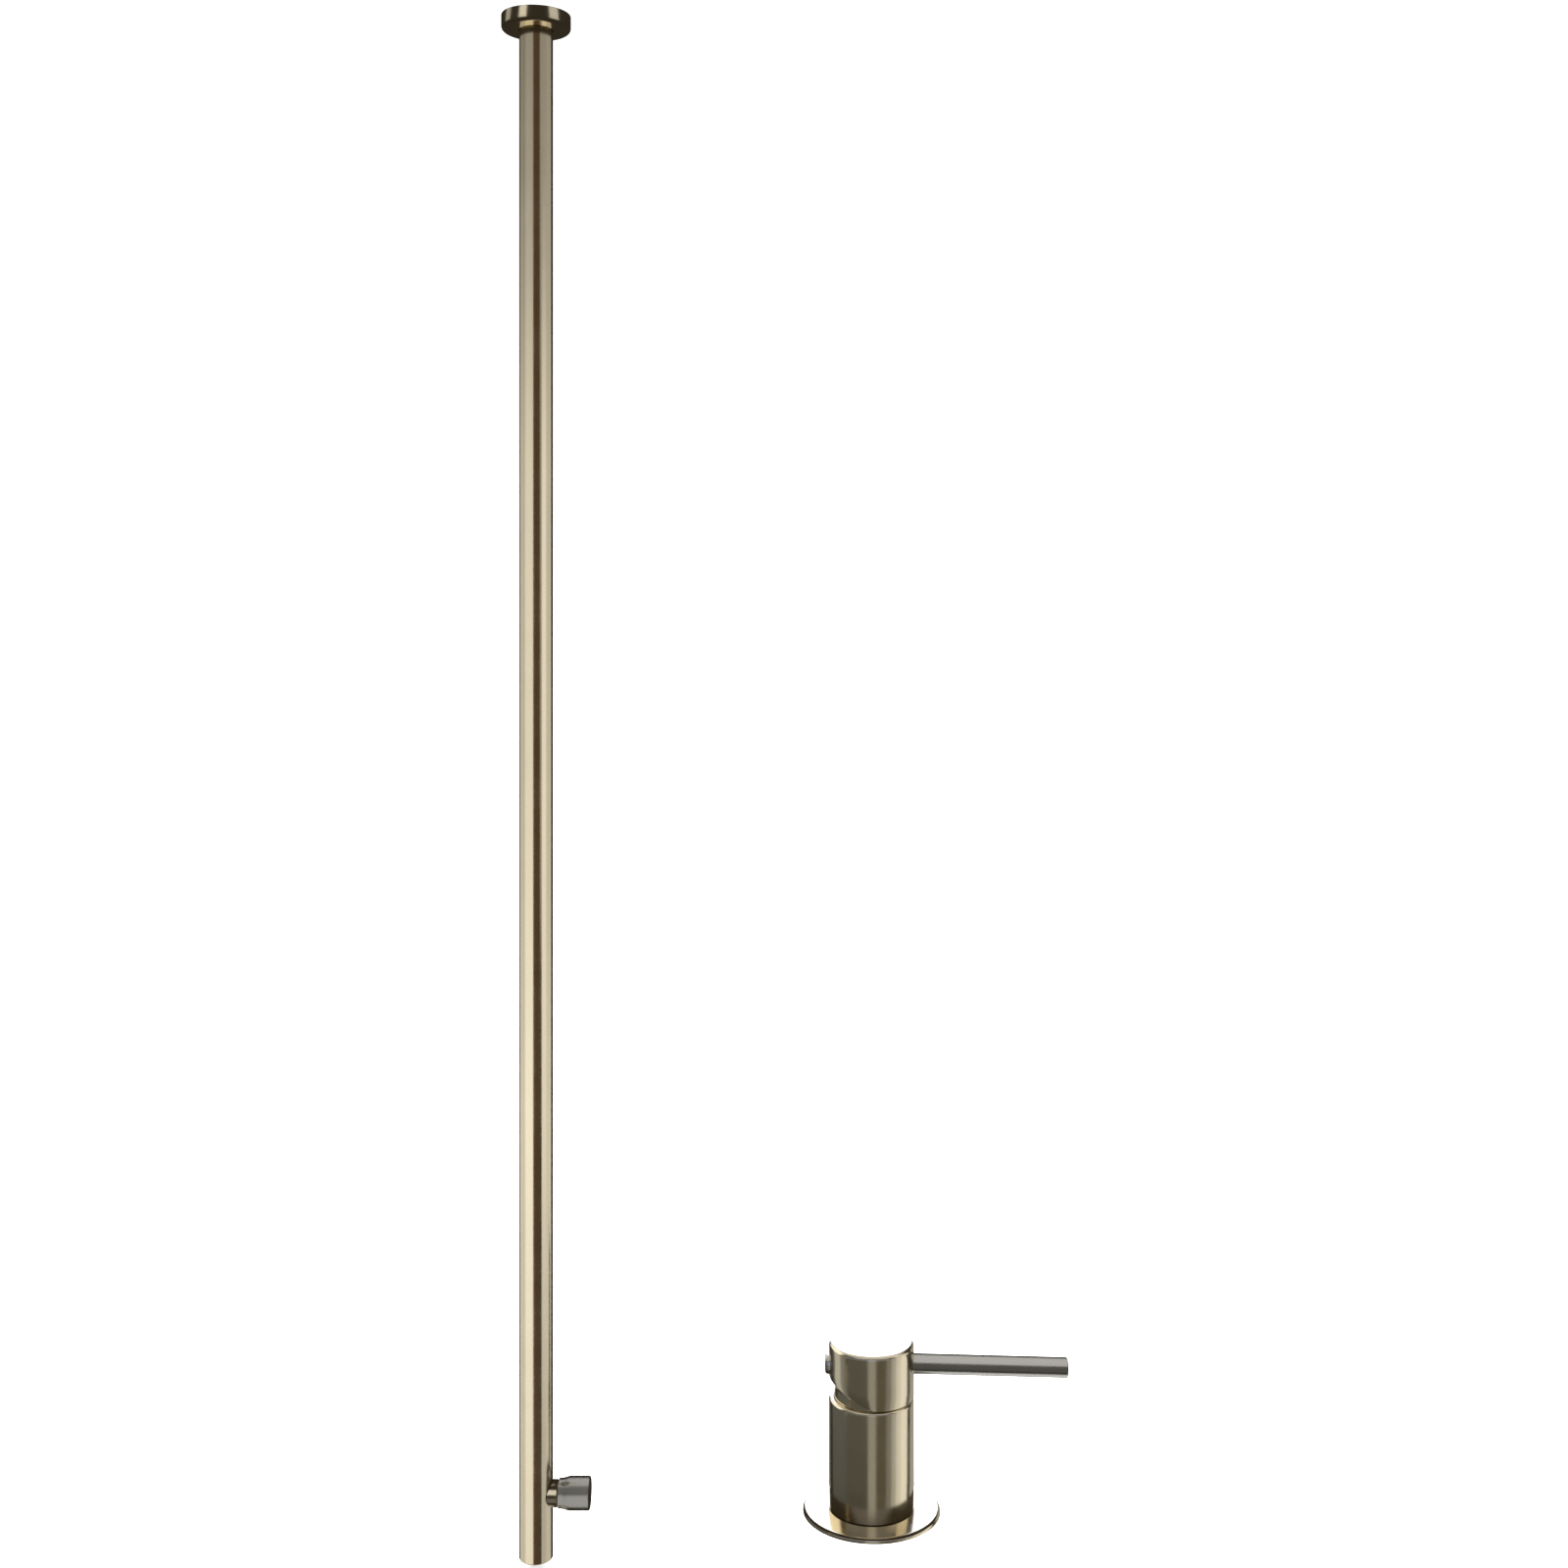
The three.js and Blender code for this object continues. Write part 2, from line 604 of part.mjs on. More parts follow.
const jetTop = washerBottom - REST_GAP;
const jetBottom = outletBottom + 2.3;
const jetPitch = 2.6;
const jetHoles = [
  [0, 0],
  ...aroundCircle(jetPitch, [0, 60, 120, 180, 240, 300]),
  ...aroundCircle(2 * jetPitch, [0, 30, 60, 90, 120, 150, 180, 210, 240, 270, 300, 330]),
].map(([x, y]) => bar(0.75, [x, y, jetBottom - 1], [x, y, jetTop + 1], 6));
const jetDisc = bar(OUTLET_BORE_R - REST_GAP, [0, 0, jetBottom], [0, 0, jetTop], MEDIUM);
addNode(spout, 'outlet_jet_disc', cutAll(jetDisc, jetHoles), PLASTIC);

// ---- mixer base ----

const gasket = { inner: PLATE_R - 13.4, outer: PLATE_R - 9.4, height: 1.2 };
addNode(mixer, 'base_plate', solid(spun([
  [SPIGOT_R + REST_GAP, 0],
  [gasket.inner - REST_GAP, 0],
  [gasket.inner - REST_GAP, gasket.height + REST_GAP],
  [gasket.outer + REST_GAP, gasket.height + REST_GAP],
  [gasket.outer + REST_GAP, 0],
  [PLATE_R, 0, 0.3],
  [PLATE_R, PLATE_HEIGHT, 1.2],
  [SPIGOT_R + REST_GAP, PLATE_HEIGHT],
], FINE)), METALS.champagne);
addNode(mixer, 'base_gasket', solid(spun([
  [gasket.inner, 0],
  [gasket.outer, 0],
  [gasket.outer, gasket.height],
  [gasket.inner, gasket.height],
], FINE)), RUBBER);

const bodyBottom = PLATE_HEIGHT + REST_GAP;
const bodyTop = PIVOT_Z - REST_GAP;
const cavityFloor = PIVOT_Z + SEAL_BOTTOM - REST_GAP;
const dropR = SHANK_R + REST_GAP;
const dropTop = cavityFloor - PORT_BLOCK_HEIGHT;
const shankTop = dropTop - REST_GAP;
const domeSeat = PIVOT_Z - DOME_SKIRT - REST_GAP;
const recessR = DOME_R + DOME_GAP;
const ports = aroundCircle(PORT_CIRCLE_R, PORT_TURNS);
const bodyBlock = solid(spun([
  [0, cavityFloor],
  [CAVITY_R, cavityFloor],
  [CAVITY_R, domeSeat],
  [recessR, domeSeat],
  [recessR, bodyTop, 0.3],
  [BODY_R, bodyTop, 0.8],
  [BODY_R, bodyBottom, 0.3],
  [SPIGOT_R, bodyBottom],
  [SPIGOT_R, 0.6],
  [dropR, 0.6],
  [dropR, dropTop],
  [0, dropTop],
], FINE));
addNode(mixer, 'mixer_body', cutAll(bodyBlock, ports.flatMap(([x, y]) => [
  bar(PORT_R, [x, y, dropTop - 1], [x, y, dropTop + PORT_DEPTH], SMALL),
  bar(CHANNEL_R, [x, y, dropTop + PORT_DEPTH - 1], [x, y, cavityFloor + 1], SMALL),
])), METALS.champagne);

// ---- under the deck ----

addNode(mixer, 'mounting_shank', solid(spun([
  [SHANK_BORE_R, -SHANK_BELOW],
  [SHANK_R, -SHANK_BELOW, 0.8],
  [SHANK_R, shankTop],
  [SHANK_BORE_R, shankTop],
], MEDIUM)), METALS.brass);

const shankRingR = SHANK_R + 11;

// A flat ring on the shank.
function shankRing(low, high) {
  const inner = SHANK_R + 0.4;
  return solid(spun([
    [inner, low],
    [shankRingR, low],
    [shankRingR, high],
    [inner, high],
  ], MEDIUM));
}
const rubberLow = -DECK_THICKNESS - 3;
const washerLow = rubberLow - REST_GAP - 1.8;
const nutTop = washerLow - REST_GAP;
addNode(mixer, 'backing_rubber', shankRing(rubberLow, -DECK_THICKNESS), RUBBER);
addNode(mixer, 'backing_washer', shankRing(washerLow, rubberLow - REST_GAP), METALS.steel);
addNode(mixer, 'shank_nut', hexagon(SHANK_R + 8, nutTop - 10, nutTop).subtract(
  bar(SHANK_R + REST_GAP, [0, 0, nutTop - 11], [0, 0, nutTop + 1], MEDIUM),
), METALS.brass);

// ---- cartridge ----

// A flat round plate in the cartridge, with one hole over each port.
function portPlate(radius, low, high, holeR) {
  const plate = bar(radius, [0, 0, PIVOT_Z + low], [0, 0, PIVOT_Z + high], MEDIUM);
  return cutAll(plate, ports.map(([x, y]) => (
    bar(holeR, [x, y, PIVOT_Z + low - 1], [x, y, PIVOT_Z + high + 1], SMALL)
  )));
}
const sealTop = SEAL_BOTTOM + SEAL_HEIGHT;
const baseLow = sealTop + REST_GAP;
const baseHigh = baseLow + BASE_HEIGHT;
const fixedLow = baseHigh + REST_GAP;
const fixedHigh = fixedLow + DISC_HEIGHT;
const movingLow = fixedHigh + REST_GAP;
const movingHigh = movingLow + DISC_HEIGHT;
const carrierLow = movingHigh + REST_GAP;
const carrierHigh = carrierLow + CARRIER_HEIGHT;
addNode(mixer, 'cartridge_seal', portPlate(SEAL_R, SEAL_BOTTOM, sealTop, CHANNEL_R + 0.4), RUBBER);
addNode(
  mixer,
  'cartridge_base',
  portPlate(CARTRIDGE_R - 0.2, baseLow, baseHigh, CHANNEL_R + 0.1),
  PLASTIC,
);
addNode(mixer, 'fixed_disc', portPlate(FIXED_DISC_R, fixedLow, fixedHigh, CHANNEL_R), CERAMIC);

const movingDisc = bar(
  MOVING_DISC_R,
  [0, 0, PIVOT_Z + movingLow],
  [0, 0, PIVOT_Z + movingHigh],
  MEDIUM,
);
addNode(mixer, 'moving_disc', movingDisc.subtract(
  bar(5, [-3, 0, PIVOT_Z + movingLow - 1], [-3, 0, PIVOT_Z + movingLow + 1.2], SMALL),
), CERAMIC);

const footSlack = 0.3;
const carrierBlock = bar(
  MOVING_DISC_R,
  [0, 0, PIVOT_Z + carrierLow],
  [0, 0, PIVOT_Z + carrierHigh],
  MEDIUM,
);
addNode(mixer, 'disc_carrier', carrierBlock.subtract(block(
  [-FOOT_R - footSlack, -STEM_HALF_Y - 0.4, PIVOT_Z - FOOT_BELOW - FOOT_R - 0.6],
  [FOOT_R + footSlack, STEM_HALF_Y + 0.4, PIVOT_Z + carrierHigh + 1],
)), PLASTIC);

const neckR = COLLAR_R + 2;
const shoulder = -8;
const housingTop = -2.4;
addNode(mixer, 'cartridge_housing', solid(spun([
  [CARTRIDGE_BORE_R, PIVOT_Z + fixedLow],
  [CARTRIDGE_R, PIVOT_Z + fixedLow],
  [CARTRIDGE_R, PIVOT_Z + shoulder],
  [neckR, PIVOT_Z + shoulder],
  [neckR, PIVOT_Z + housingTop],
  [HUB_R + 0.4, PIVOT_Z + housingTop],
  [HUB_R + 0.4, PIVOT_Z + housingTop - 1.3],
  [COLLAR_R + REST_GAP, PIVOT_Z + housingTop - 1.3],
  [COLLAR_R + REST_GAP, PIVOT_Z + shoulder - 2],
  [CARTRIDGE_BORE_R, PIVOT_Z + shoulder - 2],
], MEDIUM)), PLASTIC);

const collarHigh = housingTop - 1.3 - REST_GAP;
const collarLow = collarHigh - 3.2;
const hubTop = 4.5;
const collar = solid(spun([
  [0, PIVOT_Z + collarLow],
  [COLLAR_R, PIVOT_Z + collarLow],
  [COLLAR_R, PIVOT_Z + collarHigh],
  [HUB_R, PIVOT_Z + collarHigh],
  [HUB_R, PIVOT_Z + hubTop],
  [0, PIVOT_Z + hubTop],
], MEDIUM));
addNode(mixer, 'turn_collar', cutAll(collar, [
  block(
    [-7.2, -STEM_HALF_Y - REST_GAP, PIVOT_Z + collarLow - 1],
    [7.2, STEM_HALF_Y + REST_GAP, PIVOT_Z + hubTop + 1],
  ),
  bar(PIN_R + RUN_GAP, [0, -HUB_R - 1, PIVOT_Z], [0, HUB_R + 1, PIVOT_Z], SMALL),
]), METALS.steel);
addNode(
  mixer,
  'pivot_pin',
  bar(PIN_R, [0, -HUB_R + 0.7, PIVOT_Z], [0, HUB_R - 0.7, PIVOT_Z], SMALL),
  METALS.steel,
);

const stemShape = new THREE.Shape();
const ankle = 1.6;
stemShape.moveTo(-STEM_HALF_X, STEM_TOP);
stemShape.lineTo(-STEM_HALF_X, -6);
stemShape.lineTo(-ankle, -8.5);
stemShape.lineTo(-ankle, -FOOT_BELOW + Math.sqrt(FOOT_R ** 2 - ankle ** 2));
const ankleTurn = Math.acos(ankle / FOOT_R);
for (let i = 1; i < 10; i += 1) {
  const angle = Math.PI - ankleTurn + ((Math.PI + 2 * ankleTurn) * i) / 10;
  stemShape.lineTo(FOOT_R * Math.cos(angle), -FOOT_BELOW + FOOT_R * Math.sin(angle));
}
stemShape.lineTo(ankle, -FOOT_BELOW + Math.sqrt(FOOT_R ** 2 - ankle ** 2));
stemShape.lineTo(ankle, -8.5);
stemShape.lineTo(STEM_HALF_X, -6);
stemShape.lineTo(STEM_HALF_X, STEM_TOP);
const stem = new THREE.ExtrudeGeometry(stemShape, { depth: 2 * STEM_HALF_Y, bevelEnabled: false });
stem.deleteAttribute('normal');
stem.deleteAttribute('uv');
const stemIndexed = mergeVertices(stem, 1e-4);
stemIndexed.translate(0, 0, -STEM_HALF_Y);
stemIndexed.rotateX(Math.PI / 2);
stemIndexed.translate(0, 0, PIVOT_Z);
addNode(mixer, 'cartridge_stem', solid(stemIndexed).subtract(
  bar(PIN_R + RUN_GAP, [0, -STEM_HALF_Y - 1, PIVOT_Z], [0, STEM_HALF_Y + 1, PIVOT_Z], SMALL),
), METALS.brass);

const nutLow = shoulder + REST_GAP;
const nutStep = -DOME_SKIRT - 0.8;
const nutRing = bar(CAVITY_R - REST_GAP, [0, 0, PIVOT_Z + nutLow], [0, 0, PIVOT_Z + nutStep], MEDIUM);
addNode(mixer, 'cartridge_nut', nutRing
  .add(hexagon(CAVITY_R - 1, PIVOT_Z + nutStep - 0.5, PIVOT_Z + nutStep + 3))
  .subtract(bar(neckR + REST_GAP, [0, 0, PIVOT_Z + nutLow - 1], [0, 0, PIVOT_Z + 1], MEDIUM)), METALS.brass);

// ---- trim ring and cap ----

// Points on a sphere's side between two heights above the pivot.
function spherePoints(radius, fromZ, toZ, steps) {
  const from = Math.asin(fromZ / radius);
  const to = Math.asin(toZ / radius);
  const points = [];
  for (let i = 0; i <= steps; i += 1) {
    const angle = from + ((to - from) * i) / steps;
    points.push([radius * Math.cos(angle), PIVOT_Z + radius * Math.sin(angle)]);
  }
  return points;
}
addNode(mixer, 'trim_ring', solid(spun([
  [DOME_R - DOME_WALL, PIVOT_Z - DOME_SKIRT],
  [DOME_R, PIVOT_Z - DOME_SKIRT],
  ...spherePoints(DOME_R, 0, DOME_TOP, 3),
  ...spherePoints(DOME_R - DOME_WALL, DOME_TOP, 0, 3),
], FINE)), METALS.champagne);

const hollowR = DOME_R + SWEEP_GAP;
const hollowTop = 15.2;
const capBottom = REST_GAP;
const capBlock = solid(spun([
  [0, PIVOT_Z + CAP_HEIGHT],
  [BODY_R, PIVOT_Z + CAP_HEIGHT, CAP_EDGE],
  [BODY_R, PIVOT_Z + capBottom, 0.5],
  ...spherePoints(hollowR, capBottom, hollowTop, 6),
  [0, PIVOT_Z + hollowTop],
], FINE));
const notch = new THREE.BoxGeometry(90, 90, 40);
notch.translate(-45, 0, -20);
notch.rotateY(NOTCH_SLOPE);
notch.translate(0, 0, PIVOT_Z + capBottom);
const leverZ = PIVOT_Z + LEVER_ABOVE_PIVOT;

// Turns a piece that lies along X down by the lever's droop, about the lever's root.
function drooped(geometry) {
  geometry.translate(-BODY_R, 0, 0);
  geometry.rotateY(LEVER_DROOP);
  geometry.translate(BODY_R, 0, leverZ);
  return solid(geometry);
}
const leverHole = drooped(spunAboutX([
  [0, STEM_HALF_X - 0.8],
  [LEVER_THREAD_R + REST_GAP, STEM_HALF_X - 0.8],
  [LEVER_THREAD_R + REST_GAP, LEVER_SEAT - REST_GAP],
  [LEVER_R + REST_GAP, LEVER_SEAT - REST_GAP],
  [LEVER_R + REST_GAP, BODY_R + 4],
  [0, BODY_R + 4],
], MEDIUM));
const tailSeat = -BODY_R + TAIL_SINK;
const tailHole = spunAboutX([
  [0, -BODY_R - 4],
  [LEVER_R + REST_GAP, -BODY_R - 4],
  [LEVER_R + REST_GAP, tailSeat + REST_GAP],
  [LEVER_THREAD_R + REST_GAP, tailSeat + REST_GAP],
  [LEVER_THREAD_R + REST_GAP, -STEM_HALF_X + 0.8],
  [0, -STEM_HALF_X + 0.8],
], MEDIUM);
tailHole.translate(0, 0, leverZ);
addNode(mixer, 'handle_cap', cutAll(capBlock, [
  solid(notch),
  leverHole,
  solid(tailHole),
  block(
    [-STEM_HALF_X - 0.2, -STEM_HALF_Y - 0.2, PIVOT_Z + hollowTop - 1],
    [STEM_HALF_X + 0.2, STEM_HALF_Y + 0.2, PIVOT_Z + STEM_TOP + REST_GAP],
  ),
]), METALS.champagne);

addNode(mixer, 'lever_rod', drooped(spunAboutX([
  [0, STEM_HALF_X + 0.6],
  [LEVER_THREAD_R, STEM_HALF_X + 0.6],
  [LEVER_THREAD_R, LEVER_SEAT],
  [LEVER_R, LEVER_SEAT],
  [LEVER_R, LEVER_REACH, 0.9],
  [0, LEVER_REACH],
], MEDIUM)), METALS.nickel);

const tail = spunAboutX([
  [0, -BODY_R - TAIL_OUT],
  [LEVER_R, -BODY_R - TAIL_OUT, 1.8],
  [LEVER_R, tailSeat],
  [LEVER_THREAD_R, tailSeat],
  [LEVER_THREAD_R, -STEM_HALF_X - 0.6],
  [0, -STEM_HALF_X - 0.6],
], MEDIUM);
tail.translate(0, 0, leverZ);
addNode(mixer, 'tail_screw', solid(tail), METALS.nickel);

export default set;
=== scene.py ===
"""Finish model of a ceiling drop spout and a deck mixer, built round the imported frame."""

import json
import math

import bmesh
import bpy
from bpy.props import FloatProperty, FloatVectorProperty, IntProperty, PointerProperty
from mathutils import Matrix, Vector


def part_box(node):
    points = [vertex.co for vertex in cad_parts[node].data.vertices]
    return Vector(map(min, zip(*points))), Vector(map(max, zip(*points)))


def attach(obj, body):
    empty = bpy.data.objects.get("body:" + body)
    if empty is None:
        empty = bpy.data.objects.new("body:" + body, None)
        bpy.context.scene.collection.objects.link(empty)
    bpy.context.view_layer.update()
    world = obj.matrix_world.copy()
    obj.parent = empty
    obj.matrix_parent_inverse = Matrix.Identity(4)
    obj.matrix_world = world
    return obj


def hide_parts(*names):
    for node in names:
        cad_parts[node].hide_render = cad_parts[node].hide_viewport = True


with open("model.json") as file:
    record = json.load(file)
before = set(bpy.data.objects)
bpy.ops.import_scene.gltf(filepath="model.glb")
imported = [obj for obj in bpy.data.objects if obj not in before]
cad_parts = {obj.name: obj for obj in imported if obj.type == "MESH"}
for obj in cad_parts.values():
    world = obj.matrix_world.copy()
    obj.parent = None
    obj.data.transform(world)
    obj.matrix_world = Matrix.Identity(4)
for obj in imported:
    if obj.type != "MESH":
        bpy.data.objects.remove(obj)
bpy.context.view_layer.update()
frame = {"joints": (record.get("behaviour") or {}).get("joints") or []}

bl_info = {
    "name": "Drop Spout And Deck Mixer",
    "version": (1, 0, 0),
    "blender": (4, 5, 0),
    "location": "3D View > Sidebar > Tap Set",
    "description": "Builds the finish model of a ceiling drop spout and a deck mixer",
    "category": "Object",
}

MM = 0.001


# ---------------------------------------------------------------- measures

def corners_of(node):
    """A node's lowest and highest corners."""
    return [Vector(corner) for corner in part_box(node)]


class Round:
    """A turned piece's place and sizes, read from its box: centre, radius, low and high ends."""

    def __init__(self, node, axis="Z"):
        low, high = corners_of(node)
        self.low, self.high = low, high
        self.centre = (low + high) / 2
        if axis == "Z":
            self.radius = (high.x - low.x) / 2
            self.start, self.end = low.z, high.z
        else:
            self.radius = (high.z - low.z) / 2
            self.start, self.end = low.x, high.x


PIPE = Round("drop_pipe")
ROSE = Round("ceiling_rose")
KNOB = Round("valve_knob", "X")
SADDLE = Round("neck_saddle", "X")
HOUSING = Round("outlet_housing")
JETS = Round("outlet_jet_disc")
PLATE = Round("base_plate")
BODY = Round("mixer_body")
TRIM = Round("trim_ring")
CAP = Round("handle_cap")
SHANK = Round("mounting_shank")
NUT = Round("shank_nut")
TAIL = Round("tail_screw", "X")
LEVER = Round("lever_rod", "X")
GLAND = Round("valve_gland", "X")
GAP = 0.3 * MM  # between pieces that touch
SPIGOT_R = 21.7 * MM  # the body's lower end, which sits inside the plate


def joint_point(name):
    """The point that a hinge turns about, in metres."""
    for joint in frame["joints"]:
        if joint["name"] == name:
            return Vector(joint["pos_m"])
    raise RuntimeError("no joint called " + name)


PIVOT = joint_point("lever_lift")
KNOB_AXIS = joint_point("knob_turn")


# ---------------------------------------------------------------- settings

class FinishSettings(bpy.types.PropertyGroup):
    """Sizes and colours that a user may change."""

    pipe_wall: FloatProperty(
        name="Pipe Wall", description="Wall of the drop pipe",
        default=1.5 * MM, min=0.5 * MM, unit="LENGTH",
    )
    lip_round: FloatProperty(
        name="Lip Rounding", description="Rounding of the pipe's outer lip",
        default=0.9 * MM, min=0.1 * MM, unit="LENGTH",
    )
    rose_edge: FloatProperty(
        name="Rose Edge", description="Rounding of the rose's lower edge",
        default=2.2 * MM, min=0.2 * MM, unit="LENGTH",
    )
    rim_edge: FloatProperty(
        name="Rim Edge", description="Rounding of the body's top rim",
        default=2.0 * MM, min=0.2 * MM, unit="LENGTH",
    )
    plate_edge: FloatProperty(
        name="Plate Edge", description="Rounding of the base plate's upper edge",
        default=2.3 * MM, min=0.2 * MM, unit="LENGTH",
    )
    cap_edge: FloatProperty(
        name="Cap Edge", description="Rounding of the cap's top edge",
        default=2.8 * MM, min=0.2 * MM, unit="LENGTH",
    )
    notch_angle: FloatProperty(
        name="Notch Angle", description="Slope of the cut at the back of the cap",
        default=math.radians(25), min=0.1, max=0.8, subtype="ANGLE",
    )
    turn_steps: IntProperty(
        name="Turn Steps", description="Faces round a large turned piece",
        default=128, min=32, max=256,
    )
    plating_color: FloatVectorProperty(
        name="Plating Colour", description="Champagne plating of the spout and the mixer",
        default=(0.79, 0.70, 0.52), size=3, min=0, max=1, subtype="COLOR",
    )
    nickel_color: FloatVectorProperty(
        name="Nickel Colour", description="Satin nickel of the knob and the lever",
        default=(0.66, 0.65, 0.61), size=3, min=0, max=1, subtype="COLOR",
    )


class StudioSettings(bpy.types.PropertyGroup):
    """Camera and light sizes."""

    camera_distance: FloatProperty(
        name="Camera Distance", description="From the camera to the spout, along +Y",
        default=1.073, unit="LENGTH",
    )
    camera_side: FloatProperty(
        name="Camera Side", description="How far the camera stands to the spout's right",
        default=0.1467, unit="LENGTH",
    )
    camera_drop: FloatProperty(
        name="Camera Drop", description="How far below the ceiling face the camera is",
        default=0.3616, unit="LENGTH",
    )
    camera_lens: FloatProperty(
        name="Lens", description="Focal length in millimetres on a 36 mm sensor", default=41.63,
    )
    camera_shift: FloatProperty(
        name="Shift", description="Vertical lens shift that keeps the spout upright", default=-0.1,
    )


# ---------------------------------------------------------------- mesh making

def arc(centre_r, centre_z, radius, start, end, steps=6):
    """Points [r, z] on an arc, angles in degrees from +r towards +z."""
    points = []
    for i in range(steps + 1):
        angle = math.radians(start + (end - start) * i / steps)
        points.append((centre_r + radius * math.cos(angle), centre_z + radius * math.sin(angle)))
    return points


def finish_mesh(name, bm, sharp=30.0):
    """Turns a bmesh into an object whose faces point out and whose hard edges stay sharp."""
    bmesh.ops.remove_doubles(bm, verts=bm.verts, dist=1e-6)
    bmesh.ops.recalc_face_normals(bm, faces=bm.faces)
    if bm.calc_volume(signed=True) < 0:  # a long thin wall can come out the wrong way round
        bmesh.ops.reverse_faces(bm, faces=bm.faces)
    mesh = bpy.data.meshes.new(name)
    bm.to_mesh(mesh)
    bm.free()
    for polygon in mesh.polygons:
        polygon.use_smooth = True
    mesh.set_sharp_from_angle(angle=math.radians(sharp))
    piece = bpy.data.objects.new(name, mesh)
    bpy.context.scene.collection.objects.link(piece)
    return piece


def skin(bm, columns, ring):
    """Joins each column of corners to the next with faces, and the last column to the first."""
    count = len(columns[0])
    for here, there in zip(columns, columns[1:] + columns[:1]):
        for k in range(count if ring else count - 1):
            after = (k + 1) % count
            corners = []
            for corner in (here[k], there[k], there[after], here[after]):
                if corner not in corners:
                    corners.append(corner)
            if len(corners) > 2:
                bm.faces.new(corners)


def turned_piece(name, outline, steps, place=Matrix.Identity(4), sharp=30.0):
    """Spins an outline of [r, z] about Z. One that starts off the axis is a closed ring."""
    bm = bmesh.new()
    poles = [bm.verts.new(place @ Vector((0, 0, z))) if r <= 0 else None for r, z in outline]
    columns = []
    for i in range(steps):
        angle = 2 * math.pi * i / steps
        columns.append([
            pole or bm.verts.new(place @ Vector((r * math.cos(angle), r * math.sin(angle), z)))
            for pole, (r, z) in zip(poles, outline)
        ])
    skin(bm, columns, outline[0][0] > 0)
    return finish_mesh(name, bm, sharp)


def upright(centre):
    """Places a turned piece on a vertical axis through centre; its heights stay as they are."""
    return Matrix.Translation((centre.x, centre.y, 0))


LEVEL = Matrix(((0, 0, 1, 0), (0, 1, 0, 0), (-1, 0, 0, 0), (0, 0, 0, 1)))


def along_x(centre):
    """Places a turned piece on a level axis through centre; its heights become x."""
    return Matrix.Translation((0, centre.y, centre.z)) @ LEVEL


def drill(radius, start, end):
    """A closed bar between two points, to be cut out of a piece."""
    along = Vector(end) - Vector(start)
    turn = along.to_track_quat("Z", "Y").to_matrix().to_4x4()
    outline = [(0.0, 0.0), (radius, 0.0), (radius, along.length), (0.0, along.length)]
    return turned_piece("drill", outline, 32, Matrix.Translation(start) @ turn)


def drilled(piece, drills):
    """Cuts the drills out of a piece, removes them and returns the cut piece."""
    for bar in drills:
        cut = piece.modifiers.new("Drill", "BOOLEAN")
        cut.operation = "DIFFERENCE"
        cut.solver = "EXACT"
        cut.object = bar
    graph = bpy.context.evaluated_depsgraph_get()
    mesh = bpy.data.meshes.new_from_object(piece.evaluated_get(graph))
    name = piece.name
    bm = bmesh.new()
    bm.from_mesh(mesh)
    for spent in (piece, *drills):
        bpy.data.objects.remove(spent)
    return finish_mesh(name, bm)


# ---------------------------------------------------------------- node trees

class Socket:
    """A shader socket that takes part in sums."""

    def __init__(self, tree, link):
        self.tree = tree
        self.link = link

    def maths(self, operation, first, second):
        return self.tree.node("ShaderNodeMath", {"operation": operation}, {0: first, 1: second})

    def __add__(self, other):
        return self.maths("ADD", self, other)

    def __radd__(self, other):
        return self.maths("ADD", other, self)

    def __sub__(self, other):
        return self.maths("SUBTRACT", self, other)

    def __rsub__(self, other):
        return self.maths("SUBTRACT", other, self)

    def __mul__(self, other):
        return self.maths("MULTIPLY", self, other)

    def __rmul__(self, other):
        return self.maths("MULTIPLY", other, self)

    def __truediv__(self, other):
        return self.maths("DIVIDE", self, other)

    def __rtruediv__(self, other):
        return self.maths("DIVIDE", other, self)


class Tree:
    """A node tree that is filled by plain calls."""

    def __init__(self, nodes, links):
        self.nodes = nodes
        self.links = links

    def node(self, kind, settings=None, inputs=None, output=0):
        """Adds a node: its settings, then values or links for its sockets. Returns one output."""
        made = self.nodes.new(kind)
        for key, value in (settings or {}).items():
            if key == "stops":
                self.fill_ramp(made.color_ramp, value)
            else:
                setattr(made, key, value)
        for key, value in (inputs or {}).items():
            self.fill(made.inputs[key], value)
        return Socket(self, made.outputs[output]) if made.outputs else made

    def fill(self, socket, value):
        """Links a socket, or a list of them to a socket that takes many, or sets a plain value."""
        if isinstance(value, Socket):
            self.links.new(value.link, socket)
        elif isinstance(value, list):
            for part in reversed(value):
                self.links.new(part.link, socket)
        else:
            socket.default_value = value

    @staticmethod
    def fill_ramp(ramp, stops):
        while len(ramp.elements) > 1:
            ramp.elements.remove(ramp.elements[-1])
        ramp.elements[0].position = stops[0][0]
        ramp.elements[0].color = (*stops[0][1], 1)
        for position, color in stops[1:]:
            ramp.elements.new(position).color = (*color, 1)


